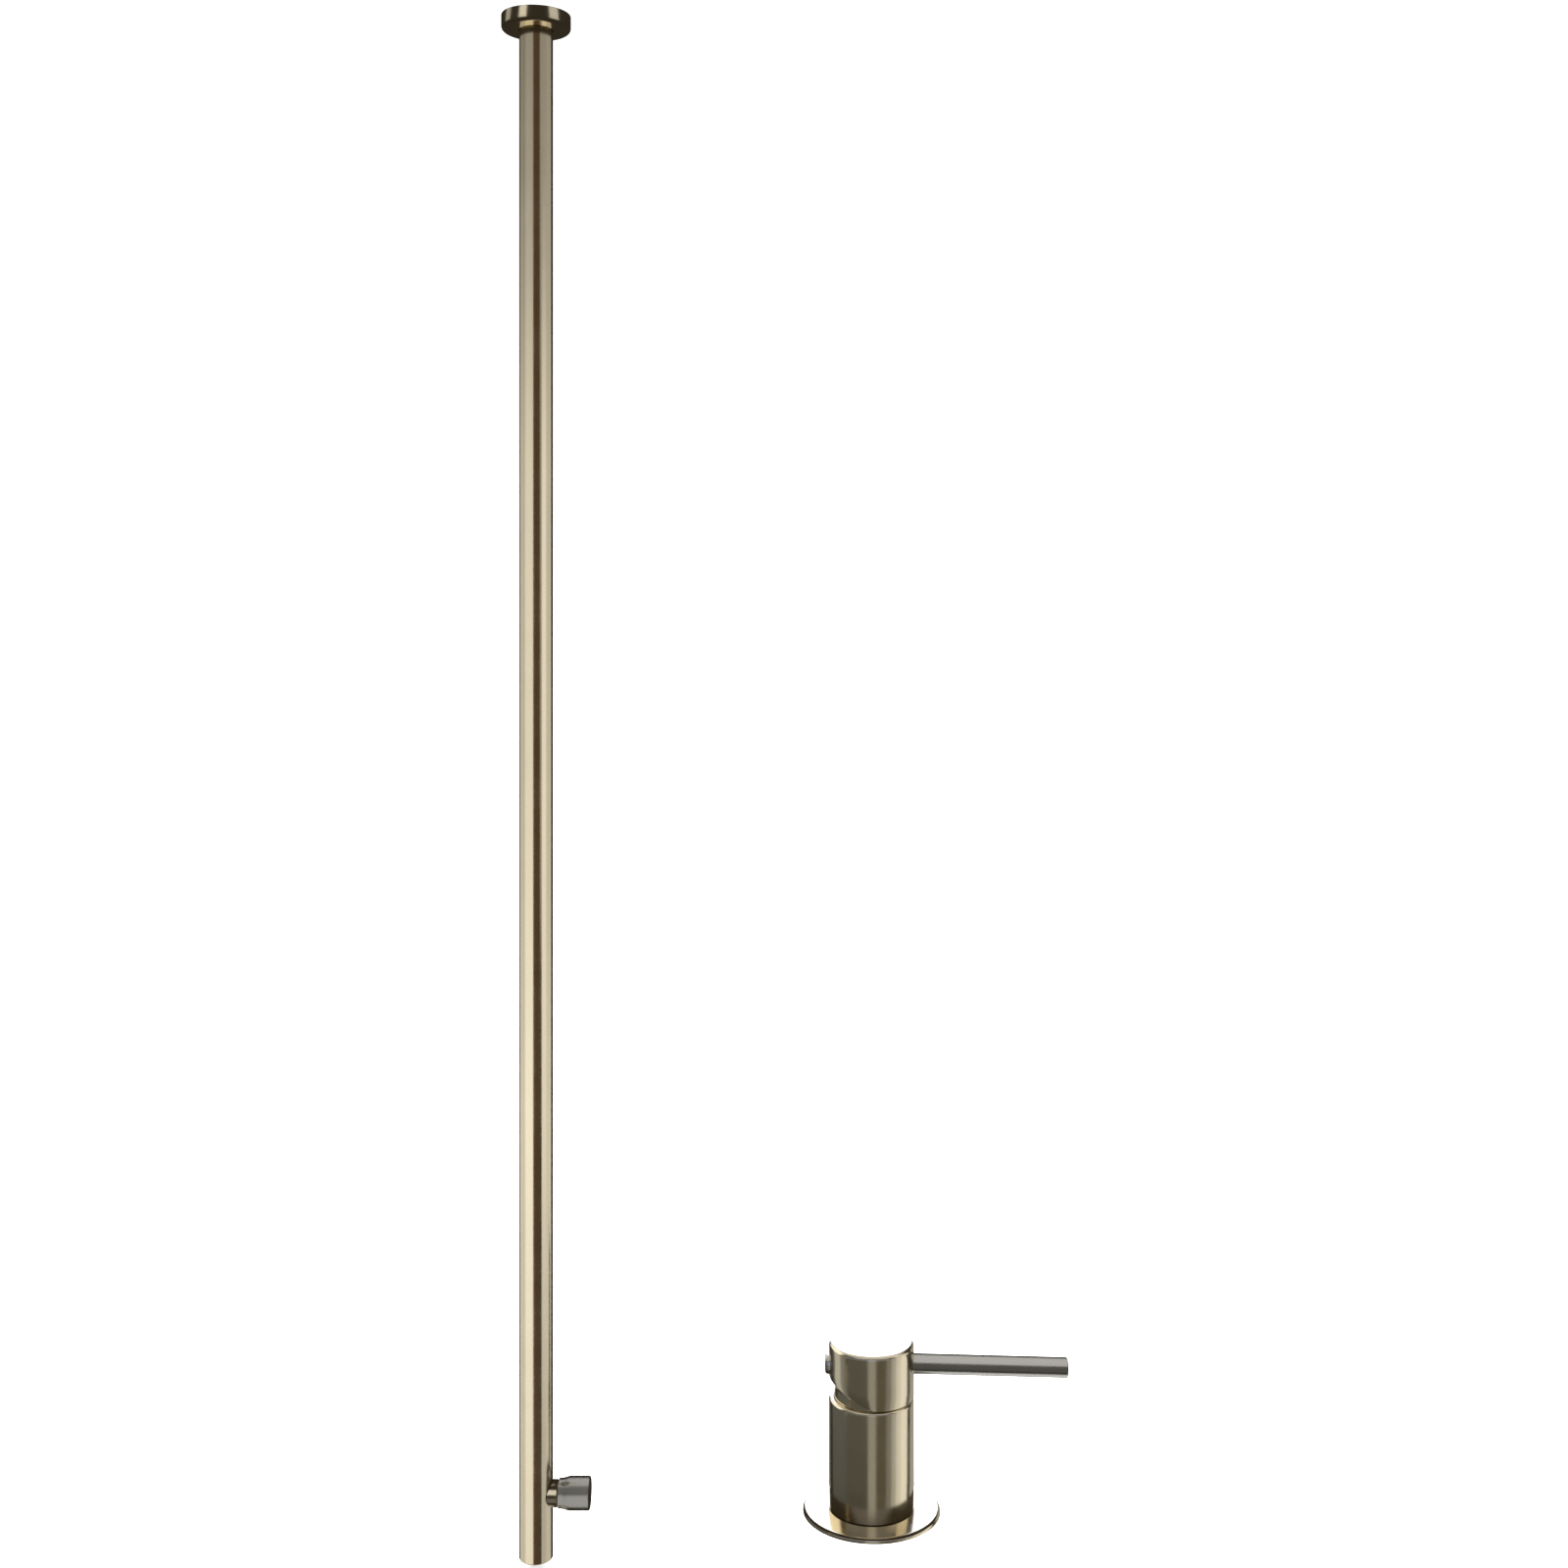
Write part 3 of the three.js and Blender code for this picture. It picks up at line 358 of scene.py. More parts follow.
class Finish(Tree):
    """A surface material: its tree, its shader and its own coordinates."""

    def __init__(self, name, metallic, ior=1.5, specular=0.5):
        self.material = bpy.data.materials.new(name)
        self.material.use_nodes = True
        tree = self.material.node_tree
        tree.nodes.clear()
        super().__init__(tree.nodes, tree.links)
        surface = self.node(
            "ShaderNodeBsdfPrincipled", None,
            {"Metallic": metallic, "IOR": ior, "Specular IOR Level": specular},
        )
        self.shader = surface.link.node
        self.node("ShaderNodeOutputMaterial", None, {"Surface": surface})

    def feed(self, name, value):
        self.fill(self.shader.inputs[name], value)

    def place(self, centre, scale=(1, 1, 1)):
        """Object coordinates measured from a point, then stretched."""
        coords = self.node("ShaderNodeTexCoord", output="Object")
        moved = self.node(
            "ShaderNodeVectorMath", {"operation": "SUBTRACT"}, {0: coords, 1: tuple(centre)},
        )
        return self.node("ShaderNodeVectorMath", {"operation": "MULTIPLY"}, {0: moved, 1: scale})

    def split(self, vector):
        first = self.node("ShaderNodeSeparateXYZ", None, {0: vector})
        return [Socket(self, output) for output in first.link.node.outputs]

    def join(self, x, y, z):
        return self.node("ShaderNodeCombineXYZ", None, {0: x, 1: y, 2: z})

    def noise(self, vector, scale, detail=3.0, roughness=0.5):
        return self.node(
            "ShaderNodeTexNoise", {"noise_dimensions": "3D"},
            {"Vector": vector, "Scale": scale, "Detail": detail, "Roughness": roughness},
        )

    def spread(self, value, low, high, to_low=0.0, to_high=1.0):
        return self.node(
            "ShaderNodeMapRange", {"clamp": True},
            {"Value": value, "From Min": low, "From Max": high, "To Min": to_low, "To Max": to_high},
        )

    def tint(self, factor, first, second):
        """Mixes two colours. The Mix node's colour sockets are its seventh and eighth."""
        colors = [color if isinstance(color, Socket) else (*color, 1) for color in (first, second)]
        return self.node(
            "ShaderNodeMix", {"data_type": "RGBA"}, {0: factor, 6: colors[0], 7: colors[1]}, 2,
        )

    def bump(self, height, strength, distance):
        return self.node(
            "ShaderNodeBump", None,
            {"Strength": strength, "Distance": distance, "Height": height},
        )


class Growth(Tree):
    """A geometry node group with named inputs; what it grows is realised and painted."""

    def __init__(self, name, lengths, counts=None):
        self.group = bpy.data.node_groups.new(name, "GeometryNodeTree")
        super().__init__(self.group.nodes, self.group.links)
        sockets = self.group.interface
        sockets.new_socket("Geometry", in_out="OUTPUT", socket_type="NodeSocketGeometry")
        self.values = dict(lengths)
        for label in lengths:
            sockets.new_socket(label, in_out="INPUT", socket_type="NodeSocketFloat")
        for label, count in (counts or {}).items():
            sockets.new_socket(label, in_out="INPUT", socket_type="NodeSocketInt")
            self.values[label] = count
        self.entry = self.node("NodeGroupInput").link.node

    def __getitem__(self, label):
        return Socket(self, self.entry.outputs[label])

    def joined(self, *parts):
        return self.node("GeometryNodeJoinGeometry", None, {0: list(parts)})

    def moved(self, geometry, x, y, z):
        place = self.node("ShaderNodeCombineXYZ", None, {0: x, 1: y, 2: z})
        return self.node("GeometryNodeTransform", None, {"Geometry": geometry, "Translation": place})

    def circle(self, steps, radius):
        return self.node(
            "GeometryNodeCurvePrimitiveCircle", {"mode": "RADIUS"},
            {"Resolution": steps, "Radius": radius},
        )

    def swept(self, path, profile, caps=False):
        return self.node(
            "GeometryNodeCurveToMesh", None,
            {"Curve": path, "Profile Curve": profile, "Fill Caps": caps},
        )

    def tube(self, steps, middle_r, wall, height, rounding, round_steps):
        """A wall with rounded ends, carried round a circle through its middle."""
        section = self.node(
            "GeometryNodeCurvePrimitiveQuadrilateral", {"mode": "RECTANGLE"},
            {"Width": wall, "Height": height},
        )
        rounded = self.node(
            "GeometryNodeFilletCurve", {"mode": "POLY"},
            {"Curve": section, "Radius": rounding, "Count": round_steps},
        )
        return self.swept(self.circle(steps, middle_r), rounded)

    def grow(self, name, geometry, material):
        """Evaluates the group once and returns an object with the plain mesh."""
        realised = self.node("GeometryNodeRealizeInstances", None, {"Geometry": geometry})
        painted = self.node(
            "GeometryNodeSetMaterial", None, {"Geometry": realised, "Material": material},
        )
        self.node("NodeGroupOutput", None, {0: painted})
        piece = bpy.data.objects.new(name, bpy.data.meshes.new(name + " seed"))
        bpy.context.scene.collection.objects.link(piece)
        modifier = piece.modifiers.new("Growth", "NODES")
        modifier.node_group = self.group
        for item in self.group.interface.items_tree:
            if item.in_out == "INPUT":
                modifier[item.identifier] = self.values[item.name]
        graph = bpy.context.evaluated_depsgraph_get()
        mesh = bpy.data.meshes.new_from_object(piece.evaluated_get(graph))
        piece.modifiers.clear()
        bm = bmesh.new()
        bm.from_mesh(mesh)
        bpy.data.objects.remove(piece)
        bpy.data.meshes.remove(mesh)
        if not bm.faces:
            raise RuntimeError(name + " grew no faces")
        return finish_mesh(name, bm)


def scaled(color, factor):
    """A colour made darker or lighter."""
    return tuple(min(1.0, channel * factor) for channel in color)


# ---------------------------------------------------------------- finishes

def turning_lines(finish, centre, axis):
    """Fine lines left by polishing on a lathe: noise that runs round the axis."""
    x, y, z = finish.split(finish.place(centre))
    if axis == "X":
        x, z = z, x
    out = finish.node("ShaderNodeMath", {"operation": "SQRT"}, {0: x * x + y * y})
    around = finish.node("ShaderNodeMath", {"operation": "ARCTAN2"}, {0: y, 1: x})
    lines = finish.join(out * 9000, around * 1.5, z * 9000)
    return finish.noise(lines, 1.0, 2.0, 0.6)


def plating(name, centre, axis, color, roughness, line_depth):
    """Polished metal with faint lathe lines, smudges and a slight drift of colour."""
    finish = Finish(name, 1.0)
    lines = turning_lines(finish, centre, axis)
    coords = finish.place(centre)
    drift = finish.noise(coords, 9.0, 2.0)
    smudge = finish.noise(coords, 46.0, 4.0, 0.62)
    speck = finish.noise(coords, 900.0, 2.0, 0.5)
    red, green, blue = color
    warm = finish.tint(
        finish.spread(drift, 0.35, 0.65), scaled(color, 0.975), (red, green * 0.99, blue * 0.955),
    )
    worn = finish.tint(finish.spread(smudge, 0.45, 0.75), warm, scaled(color, 1.03))
    finish.feed("Base Color", worn)
    finish.feed("Roughness", (
        finish.spread(smudge, 0.3, 0.75, roughness - 0.03, roughness + 0.05)
        + finish.spread(lines, 0.3, 0.7, -0.015, 0.02)
        + finish.spread(speck, 0.62, 0.75, 0.0, 0.03)
    ))
    finish.feed("Normal", finish.bump(lines, 0.12, line_depth))
    return finish.material


def machined(name, centre, axis, color, roughness=0.34):
    """Bare turned metal with visible tool lines and a little tarnish."""
    finish = Finish(name, 1.0)
    lines = turning_lines(finish, centre, axis)
    coords = finish.place(centre)
    tarnish = finish.noise(coords, 130.0, 4.0, 0.6)
    finish.feed("Base Color", finish.tint(
        finish.spread(tarnish, 0.4, 0.7), color, scaled(color, 0.72),
    ))
    finish.feed("Roughness", (
        finish.spread(tarnish, 0.3, 0.7, roughness - 0.05, roughness + 0.12)
        + finish.spread(lines, 0.3, 0.7, -0.04, 0.05)
    ))
    finish.feed("Normal", finish.bump(lines, 0.4, 0.00004))
    return finish.material


def seal_rubber(name, centre):
    """Dull black rubber with a grey bloom in patches."""
    finish = Finish(name, 0.0, specular=0.35)
    coords = finish.place(centre)
    bloom = finish.noise(coords, 160.0, 4.0, 0.6)
    grain = finish.noise(coords, 2600.0, 2.0, 0.6)
    finish.feed("Base Color", finish.tint(
        finish.spread(bloom, 0.45, 0.75), (0.018, 0.018, 0.019), (0.055, 0.054, 0.052),
    ))
    finish.feed("Roughness", finish.spread(bloom, 0.3, 0.7, 0.62, 0.85))
    finish.feed("Normal", finish.bump(grain, 0.35, 0.00006))
    return finish.material


def moulded_plastic(name, centre, color, roughness=0.5):
    """Moulded plastic with faint flow marks and a fine grain."""
    finish = Finish(name, 0.0)
    coords = finish.place(centre)
    flow = finish.noise(coords, 60.0, 3.0, 0.5)
    grain = finish.noise(coords, 1800.0, 2.0, 0.5)
    finish.feed("Base Color", finish.tint(finish.spread(flow, 0.35, 0.65), color, scaled(color, 0.93)))
    finish.feed("Roughness", finish.spread(grain, 0.3, 0.7, roughness - 0.06, roughness + 0.08))
    finish.feed("Normal", finish.bump(grain, 0.2, 0.00005))
    return finish.material


def lapped_ceramic(name, centre):
    """Smooth off-white ceramic, ground flat."""
    finish = Finish(name, 0.0, ior=1.7)
    coords = finish.place(centre)
    cloud = finish.noise(coords, 200.0, 3.0, 0.5)
    finish.feed("Base Color", finish.tint(
        finish.spread(cloud, 0.35, 0.65), (0.88, 0.86, 0.80), (0.82, 0.79, 0.72),
    ))
    finish.feed("Roughness", finish.spread(cloud, 0.3, 0.7, 0.14, 0.22))
    finish.feed("Normal", finish.bump(cloud, 0.1, 0.00003))
    return finish.material


BRASS = (0.66, 0.46, 0.17)
STEEL = (0.58, 0.58, 0.58)


def champagne(name, centre, axis="Z", roughness=0.17):
    color = tuple(bpy.context.scene.tap_finish.plating_color)
    return plating(name, centre, axis, color, roughness, 0.00002)


def nickel(name, centre, axis="X", roughness=0.26):
    color = tuple(bpy.context.scene.tap_finish.nickel_color)
    return plating(name, centre, axis, color, roughness, 0.00003)


INNER_FINISHES = {
    "bare_brass": lambda name, at: machined(name, at, "Z", BRASS),
    "steel": lambda name, at: machined(name, at, "Z", STEEL),
    "black_rubber": seal_rubber,
    "cartridge_plastic": lambda name, at: moulded_plastic(name, at, (0.72, 0.71, 0.67)),
    "seat_plastic": lambda name, at: moulded_plastic(name, at, (0.85, 0.84, 0.80), 0.38),
    "disc_ceramic": lapped_ceramic,
}


def dress(piece, material):
    """Gives a piece one material in place of any that it has."""
    piece.data.materials.clear()
    piece.data.materials.append(material)


def hand_over(piece, body, slot, material, *nodes):
    """Gives a finished piece its material, its body and the nodes that it stands for."""
    dress(piece, material)
    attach(piece, body)
    if nodes:
        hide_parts(*nodes)


# ---------------------------------------------------------------- spout

class TAP_OT_rose(bpy.types.Operator):
    """Makes the round rose that covers the ceiling fixing"""

    bl_idname = "tap.rose"
    bl_label = "Ceiling Rose"

    def execute(self, context):
        settings = context.scene.tap_finish
        low, high, out = ROSE.start, ROSE.end, ROSE.radius
        wall = 1.6 * MM
        boss_r, boss_height = 13.2 * MM, 3.8 * MM
        edge, top_edge, lead, corner = settings.rose_edge, 0.3 * MM, 0.35 * MM, 0.6 * MM
        bore = PIPE.radius + lead
        outline = [(bore, low + lead), (bore + lead, low)]
        outline += arc(out - edge, low + edge, edge, -90, 0, 10)
        outline += arc(out - top_edge, high - top_edge, top_edge, 0, 90, 3)
        outline += [
            (out - wall, high),
            (out - wall, low + wall + corner),
            (out - wall - corner, low + wall),
            (boss_r, low + wall),
            (boss_r, low + boss_height),
            (bore, low + boss_height),
        ]
        piece = turned_piece("rose_cover", outline, settings.turn_steps, upright(ROSE.centre))
        hand_over(piece, "fixed", "champagne_metal", champagne("rose plating", ROSE.centre), "ceiling_rose")
        return {"FINISHED"}


class TAP_OT_pipe(bpy.types.Operator):
    """Makes the long drop pipe: a walled section with a rounded lip, carried round the axis"""

    bl_idname = "tap.pipe"
    bl_label = "Drop Pipe"

    def execute(self, context):
        settings = context.scene.tap_finish
        material = champagne("pipe plating", PIPE.centre)
        growth = Growth("Drop Pipe", {
            "Outer Radius": PIPE.radius,
            "Wall": settings.pipe_wall,
            "Bottom": PIPE.start,
            "Top": PIPE.end,
            "Lip Rounding": settings.lip_round,
        }, {"Steps Round": settings.turn_steps, "Lip Steps": 7})
        wall = growth["Wall"]
        tube = growth.tube(
            growth["Steps Round"], growth["Outer Radius"] - wall * 0.5, wall,
            growth["Top"] - growth["Bottom"], growth["Lip Rounding"], growth["Lip Steps"],
        )
        placed = growth.moved(
            tube, PIPE.centre.x, PIPE.centre.y, (growth["Top"] + growth["Bottom"]) * 0.5,
        )
        piece = growth.grow("spout_pipe", placed, material)
        hand_over(piece, "fixed", "champagne_metal", material, "drop_pipe")
        return {"FINISHED"}


class TAP_OT_outlet(bpy.types.Operator):
    """Makes the spray insert in the pipe's mouth: a perforated disc with a nozzle round each hole"""

    bl_idname = "tap.outlet"
    bl_label = "Outlet"

    def execute(self, context):
        outer, low, high = HOUSING.radius, HOUSING.start, HOUSING.end
        bore = JETS.radius + GAP
        ledge_r, ledge_z = bore - 1.8 * MM, high - 2 * MM
        lead, edge = 0.25 * MM, 0.3 * MM
        outline = [(bore, low + lead), (bore + lead, low)]
        outline += arc(outer - edge, low + edge, edge, -90, 0, 4)
        outline += [(outer, high), (ledge_r, high), (ledge_r, ledge_z), (bore, ledge_z)]
        sleeve = turned_piece("outlet_sleeve", outline, 96, upright(HOUSING.centre))
        plated = nickel("sleeve nickel", HOUSING.centre, "Z")
        hand_over(sleeve, "fixed", "nickel_metal", plated, "outlet_housing")

        material = moulded_plastic("jet plastic", JETS.centre, (0.62, 0.61, 0.57))
        growth = Growth("Jet Disc", {
            "Disc Radius": JETS.radius,
            "Bottom": JETS.start,
            "Top": JETS.end,
            "Pitch": 2.6 * MM,
            "Hole Radius": 0.5 * MM,
            "Nozzle Radius": 0.95 * MM,
            "Nozzle Height": 1.1 * MM,
        }, {"Inner Jets": 6, "Outer Jets": 12})
        face = growth["Bottom"] + growth["Nozzle Height"]
        thick = growth["Top"] - face
        disc = growth.node(
            "GeometryNodeMeshCylinder", None,
            {"Vertices": 64, "Radius": growth["Disc Radius"], "Depth": thick},
        )
        rings = [
            growth.node(
                "GeometryNodeMeshCircle", None,
                {"Vertices": growth[label], "Radius": growth["Pitch"] * turns},
            )
            for label, turns in (("Inner Jets", 1.0), ("Outer Jets", 2.0))
        ]
        middle = growth.node("GeometryNodeMeshLine", None, {"Count": 1})
        sites = growth.joined(middle, *rings)
        drill = growth.node(
            "GeometryNodeMeshCylinder", None,
            {"Vertices": 12, "Radius": growth["Hole Radius"], "Depth": thick * 3.0},
        )
        drills = growth.node("GeometryNodeInstanceOnPoints", None, {"Points": sites, "Instance": drill})
        cut = growth.node(
            "GeometryNodeMeshBoolean", {"operation": "DIFFERENCE"},
            {"Mesh 1": disc, "Mesh 2": growth.node("GeometryNodeRealizeInstances", None, {0: drills})},
        )
        wall = growth["Nozzle Radius"] - growth["Hole Radius"]
        nozzle = growth.tube(
            16, growth["Hole Radius"] + wall * 0.5, wall, growth["Nozzle Height"], wall * 0.35, 3,
        )
        lowered = growth.moved(nozzle, 0.0, 0.0, (thick + growth["Nozzle Height"]) * -0.5)
        nozzles = growth.node("GeometryNodeInstanceOnPoints", None, {"Points": sites, "Instance": lowered})
        placed = growth.moved(
            growth.joined(cut, nozzles), JETS.centre.x, JETS.centre.y, (growth["Top"] + face) * 0.5,
        )
        piece = growth.grow("jet_disc", placed, material)
        hand_over(piece, "fixed", "cartridge_plastic", material, "outlet_jet_disc")
        return {"FINISHED"}


class TAP_OT_knob(bpy.types.Operator):
    """Makes the knob of the quarter-turn valve and the neck it turns on"""

    bl_idname = "tap.knob"
    bl_label = "Valve Knob"

    def execute(self, context):
        self.make_grip()
        self.make_neck()
        return {"FINISHED"}

    @staticmethod
    def make_grip():
        start, end, out = KNOB.start, KNOB.end, KNOB.radius
        waist = out - 1.1 * MM  # the knob widens a little towards its end
        edge, back_edge = 1.1 * MM, 0.5 * MM
        hollow, step = 2.9 * MM, 0.6 * MM
        dish_r, dish_lip, dish = out - 1.9 * MM, 0.2 * MM, 0.12 * MM
        outline = [(0.0, start + step), (hollow, start + step), (hollow + step, start)]
        outline += arc(waist - back_edge, start + back_edge, back_edge, -90, 0, 5)
        flare_steps = 10
        flare_start, flare_length = start + 1.4 * MM, 6 * MM
        for i in range(flare_steps + 1):
            share = i / flare_steps
            ease = share * share * (3 - 2 * share)
            outline.append((waist + (out - waist) * ease, flare_start + flare_length * share))
        outline += arc(out - edge, end - edge, edge, 0, 90, 8)
        outline += [(dish_r, end), (dish_r - dish_lip, end - dish), (0.0, end - dish)]
        grip = turned_piece("knob_grip", outline, 96, along_x(KNOB_AXIS))
        low, high = corners_of("knob_grub")
        grub = (low + high) / 2
        hole = drill(
            (high.x - low.x) / 2 + GAP, (grub.x, grub.y, KNOB.low.z - 1 * MM), (grub.x, grub.y, high.z),
        )
        grip = drilled(grip, [hole])
        hand_over(grip, "knob", "nickel_metal", nickel("knob nickel", KNOB_AXIS), "valve_knob")

    @staticmethod
    def make_neck():
        """A sleeve round the valve's axis whose inner end is cut to the pipe's curve."""
        r, high = SADDLE.radius, SADDLE.end
        bore = GLAND.radius + GAP
        seat = PIPE.radius + GAP
        edge = 0.5 * MM
        outer_end = [(bore, high), (r - edge, high)] + arc(r - edge, high - edge, edge, 90, 0, 4)
        steps = 96
        bm = bmesh.new()
        columns = []
        for i in range(steps):
            angle = 2 * math.pi * i / steps
            row = list(outer_end)
            for share in (0.0, 0.25, 0.5, 0.75, 1.0):
                out = r + (bore - r) * share
                across = out * math.sin(angle)
                row.append((out, math.sqrt(seat * seat - across * across)))
            columns.append([
                bm.verts.new(KNOB_AXIS + Vector((x, out * math.sin(angle), out * math.cos(angle))))
                for out, x in row
            ])
        skin(bm, columns, True)
        neck = finish_mesh("knob_neck", bm, 35.0)
        plated = champagne("neck plating", KNOB_AXIS, "X")
        hand_over(neck, "fixed", "champagne_metal", plated, "neck_saddle")


# ---------------------------------------------------------------- mixer

class TAP_OT_base(bpy.types.Operator):
    """Makes the thin round plate that the mixer stands on"""

    bl_idname = "tap.base"
    bl_label = "Base Plate"

    def execute(self, context):
        settings = context.scene.tap_finish
        low, high, out = PLATE.start, PLATE.end, PLATE.radius
        bore = SPIGOT_R + GAP
        gasket = Round("base_gasket")
        groove_out, groove_top = gasket.radius + GAP, gasket.end + GAP
        groove_in = groove_out - 4.6 * MM
        edge, foot_edge = settings.plate_edge, 0.3 * MM
        outline = [(bore, low), (groove_in, low), (groove_in, groove_top)]
        outline += [(groove_out, groove_top), (groove_out, low)]
        outline += arc(out - foot_edge, low + foot_edge, foot_edge, -90, 0, 3)
        outline += arc(out - edge, high - edge, edge, 0, 90, 8)
        outline += [(BODY.radius + 0.2 * MM, high), (bore, high)]
        piece = turned_piece("mixer_plate", outline, settings.turn_steps + 32, upright(PLATE.centre))
        hand_over(piece, "fixed", "champagne_metal", champagne("plate plating", PLATE.centre), "base_plate")
        return {"FINISHED"}


class TAP_OT_body(bpy.types.Operator):
    """Makes the mixer's round body, open at the top for the cartridge"""

    bl_idname = "tap.body"
    bl_label = "Mixer Body"

    def execute(self, context):
        settings = context.scene.tap_finish
        out, top = BODY.radius, BODY.end
        foot = PLATE.end + GAP
        seat_r, seat_z = TRIM.radius + 0.4 * MM, TRIM.start - GAP
        cavity_r, cavity_floor = 20 * MM, corners_of("cartridge_seal")[0].z - GAP
        shank_r, floor = SHANK.radius + GAP, SHANK.end + GAP
        edge, lead, foot_edge = settings.rim_edge, 0.25 * MM, 0.35 * MM
        outline = [(0.0, cavity_floor), (cavity_r, cavity_floor), (cavity_r, seat_z), (seat_r, seat_z)]
        outline += arc(seat_r + lead, top - lead, lead, 180, 90, 3)
        outline += arc(out - edge, top - edge, edge, 90, 0, 10)
        outline += [(out, foot + (top - foot) * share) for share in (0.66, 0.33)]
        outline += arc(out - foot_edge, foot + foot_edge, foot_edge, 0, -90, 3)
        outline += [(SPIGOT_R, foot), (SPIGOT_R, BODY.start), (shank_r, BODY.start)]
        outline += [(shank_r, floor), (0.0, floor)]
        piece = turned_piece("mixer_barrel", outline, settings.turn_steps, upright(BODY.centre))
        port_circle, port_r, port_depth, channel_r = 7.2 * MM, 4.8 * MM, 10 * MM, 2.5 * MM
        past = 1 * MM  # the drills run past the faces that they open
        drills = []
        for degrees in (90, 210, 330):
            turn = math.radians(degrees)
            x = BODY.centre.x + port_circle * math.cos(turn)
            y = BODY.centre.y + port_circle * math.sin(turn)
            drills.append(drill(port_r, (x, y, floor - past), (x, y, floor + port_depth)))
            drills.append(drill(channel_r, (x, y, floor + port_depth / 2), (x, y, cavity_floor + past)))
        piece = drilled(piece, drills)
        hand_over(piece, "fixed", "champagne_metal", champagne("barrel plating", BODY.centre), "mixer_body")
        return {"FINISHED"}


class TAP_OT_trim(bpy.types.Operator):
    """Makes the domed ring that shows when the cap is tipped"""

    bl_idname = "tap.trim"
    bl_label = "Trim Ring"

    def execute(self, context):
        settings = context.scene.tap_finish
        r = TRIM.radius
        wall = 1.4 * MM
        low = TRIM.start
        rise = TRIM.end - PIVOT.z
        top_angle = math.degrees(math.asin(rise / r))
        inner_angle = math.degrees(math.asin(rise / (r - wall)))
        outline = [(r - wall, low), (r, low)]
        outline += arc(0, PIVOT.z, r, 0, top_angle, 10)
        outline += arc(0, PIVOT.z, r - wall, inner_angle, 0, 10)
        piece = turned_piece("trim_dome", outline, settings.turn_steps, upright(TRIM.centre))
        hand_over(piece, "fixed", "champagne_metal", champagne("trim plating", TRIM.centre), "trim_ring")
        return {"FINISHED"}


class TAP_OT_cap(bpy.types.Operator):
    """Makes the tilting cap, cut away at an angle behind the lever"""

    bl_idname = "tap.cap"
    bl_label = "Handle Cap"

    def execute(self, context):
        settings = context.scene.tap_finish
        slope = math.tan(settings.notch_angle)
        gap = CAP.start - PIVOT.z
        out = BODY.radius
        height = CAP.end - PIVOT.z
        hollow = TRIM.radius + 0.7 * MM
        ceiling = 15.2 * MM
        edge, foot_edge = settings.cap_edge, 0.7 * MM
        bend = 1.2 * MM
        steps = settings.turn_steps + 16
        stop_angle = math.degrees(math.asin(ceiling / hollow))

        def under(x):
            """The underside's height above the pivot: level under the lever, rising to the left."""
            return gap + 0.5 * slope * (math.sqrt(x * x + bend * bend) - x)

        def column(angle):
            """Half of the cap's section, as [r, z] from the hollow's roof round to the top's middle."""
            across = math.cos(angle)
            inner = hollow
            for _ in range(6):  # closes in on where the round hollow meets the underside
                inner = math.sqrt(max(hollow * hollow - under(inner * across) ** 2, 1e-8))
            start_angle = math.degrees(math.asin(min(1.0, under(inner * across) / hollow)))
            points = [(0.0, ceiling)]
            points += arc(0, 0, hollow, stop_angle, start_angle, 8)
            for share in (0.15, 0.5, 0.85):
                r = inner + (out - foot_edge - inner) * share
                points.append((r, under(r * across)))
            for r, z in arc(out - foot_edge, foot_edge, foot_edge, -90, 0, 3):
                points.append((r, under(r * across) + z))
            low = under(out * across) + foot_edge
            for share in (0.25, 0.5, 0.75):
                points.append((out, low + (height - edge - low) * share))
            points += arc(out - edge, height - edge, edge, 0, 90, 8)
            points.append((0.0, height))
            return points

        bm = bmesh.new()
        poles = {z: bm.verts.new(PIVOT + Vector((0, 0, z))) for z in (ceiling, height)}
        columns = []
        for i in range(steps):
            angle = 2 * math.pi * i / steps
            columns.append([
                bm.verts.new(PIVOT + Vector((r * math.cos(angle), r * math.sin(angle), z)))
                if r > 0 else poles[z] for r, z in column(angle)
            ])
        skin(bm, columns, False)
        piece = finish_mesh("tilting_cap", bm, 32.0)
        hand_over(piece, "lift", "champagne_metal", champagne("cap plating", PIVOT), "handle_cap")
        return {"FINISHED"}


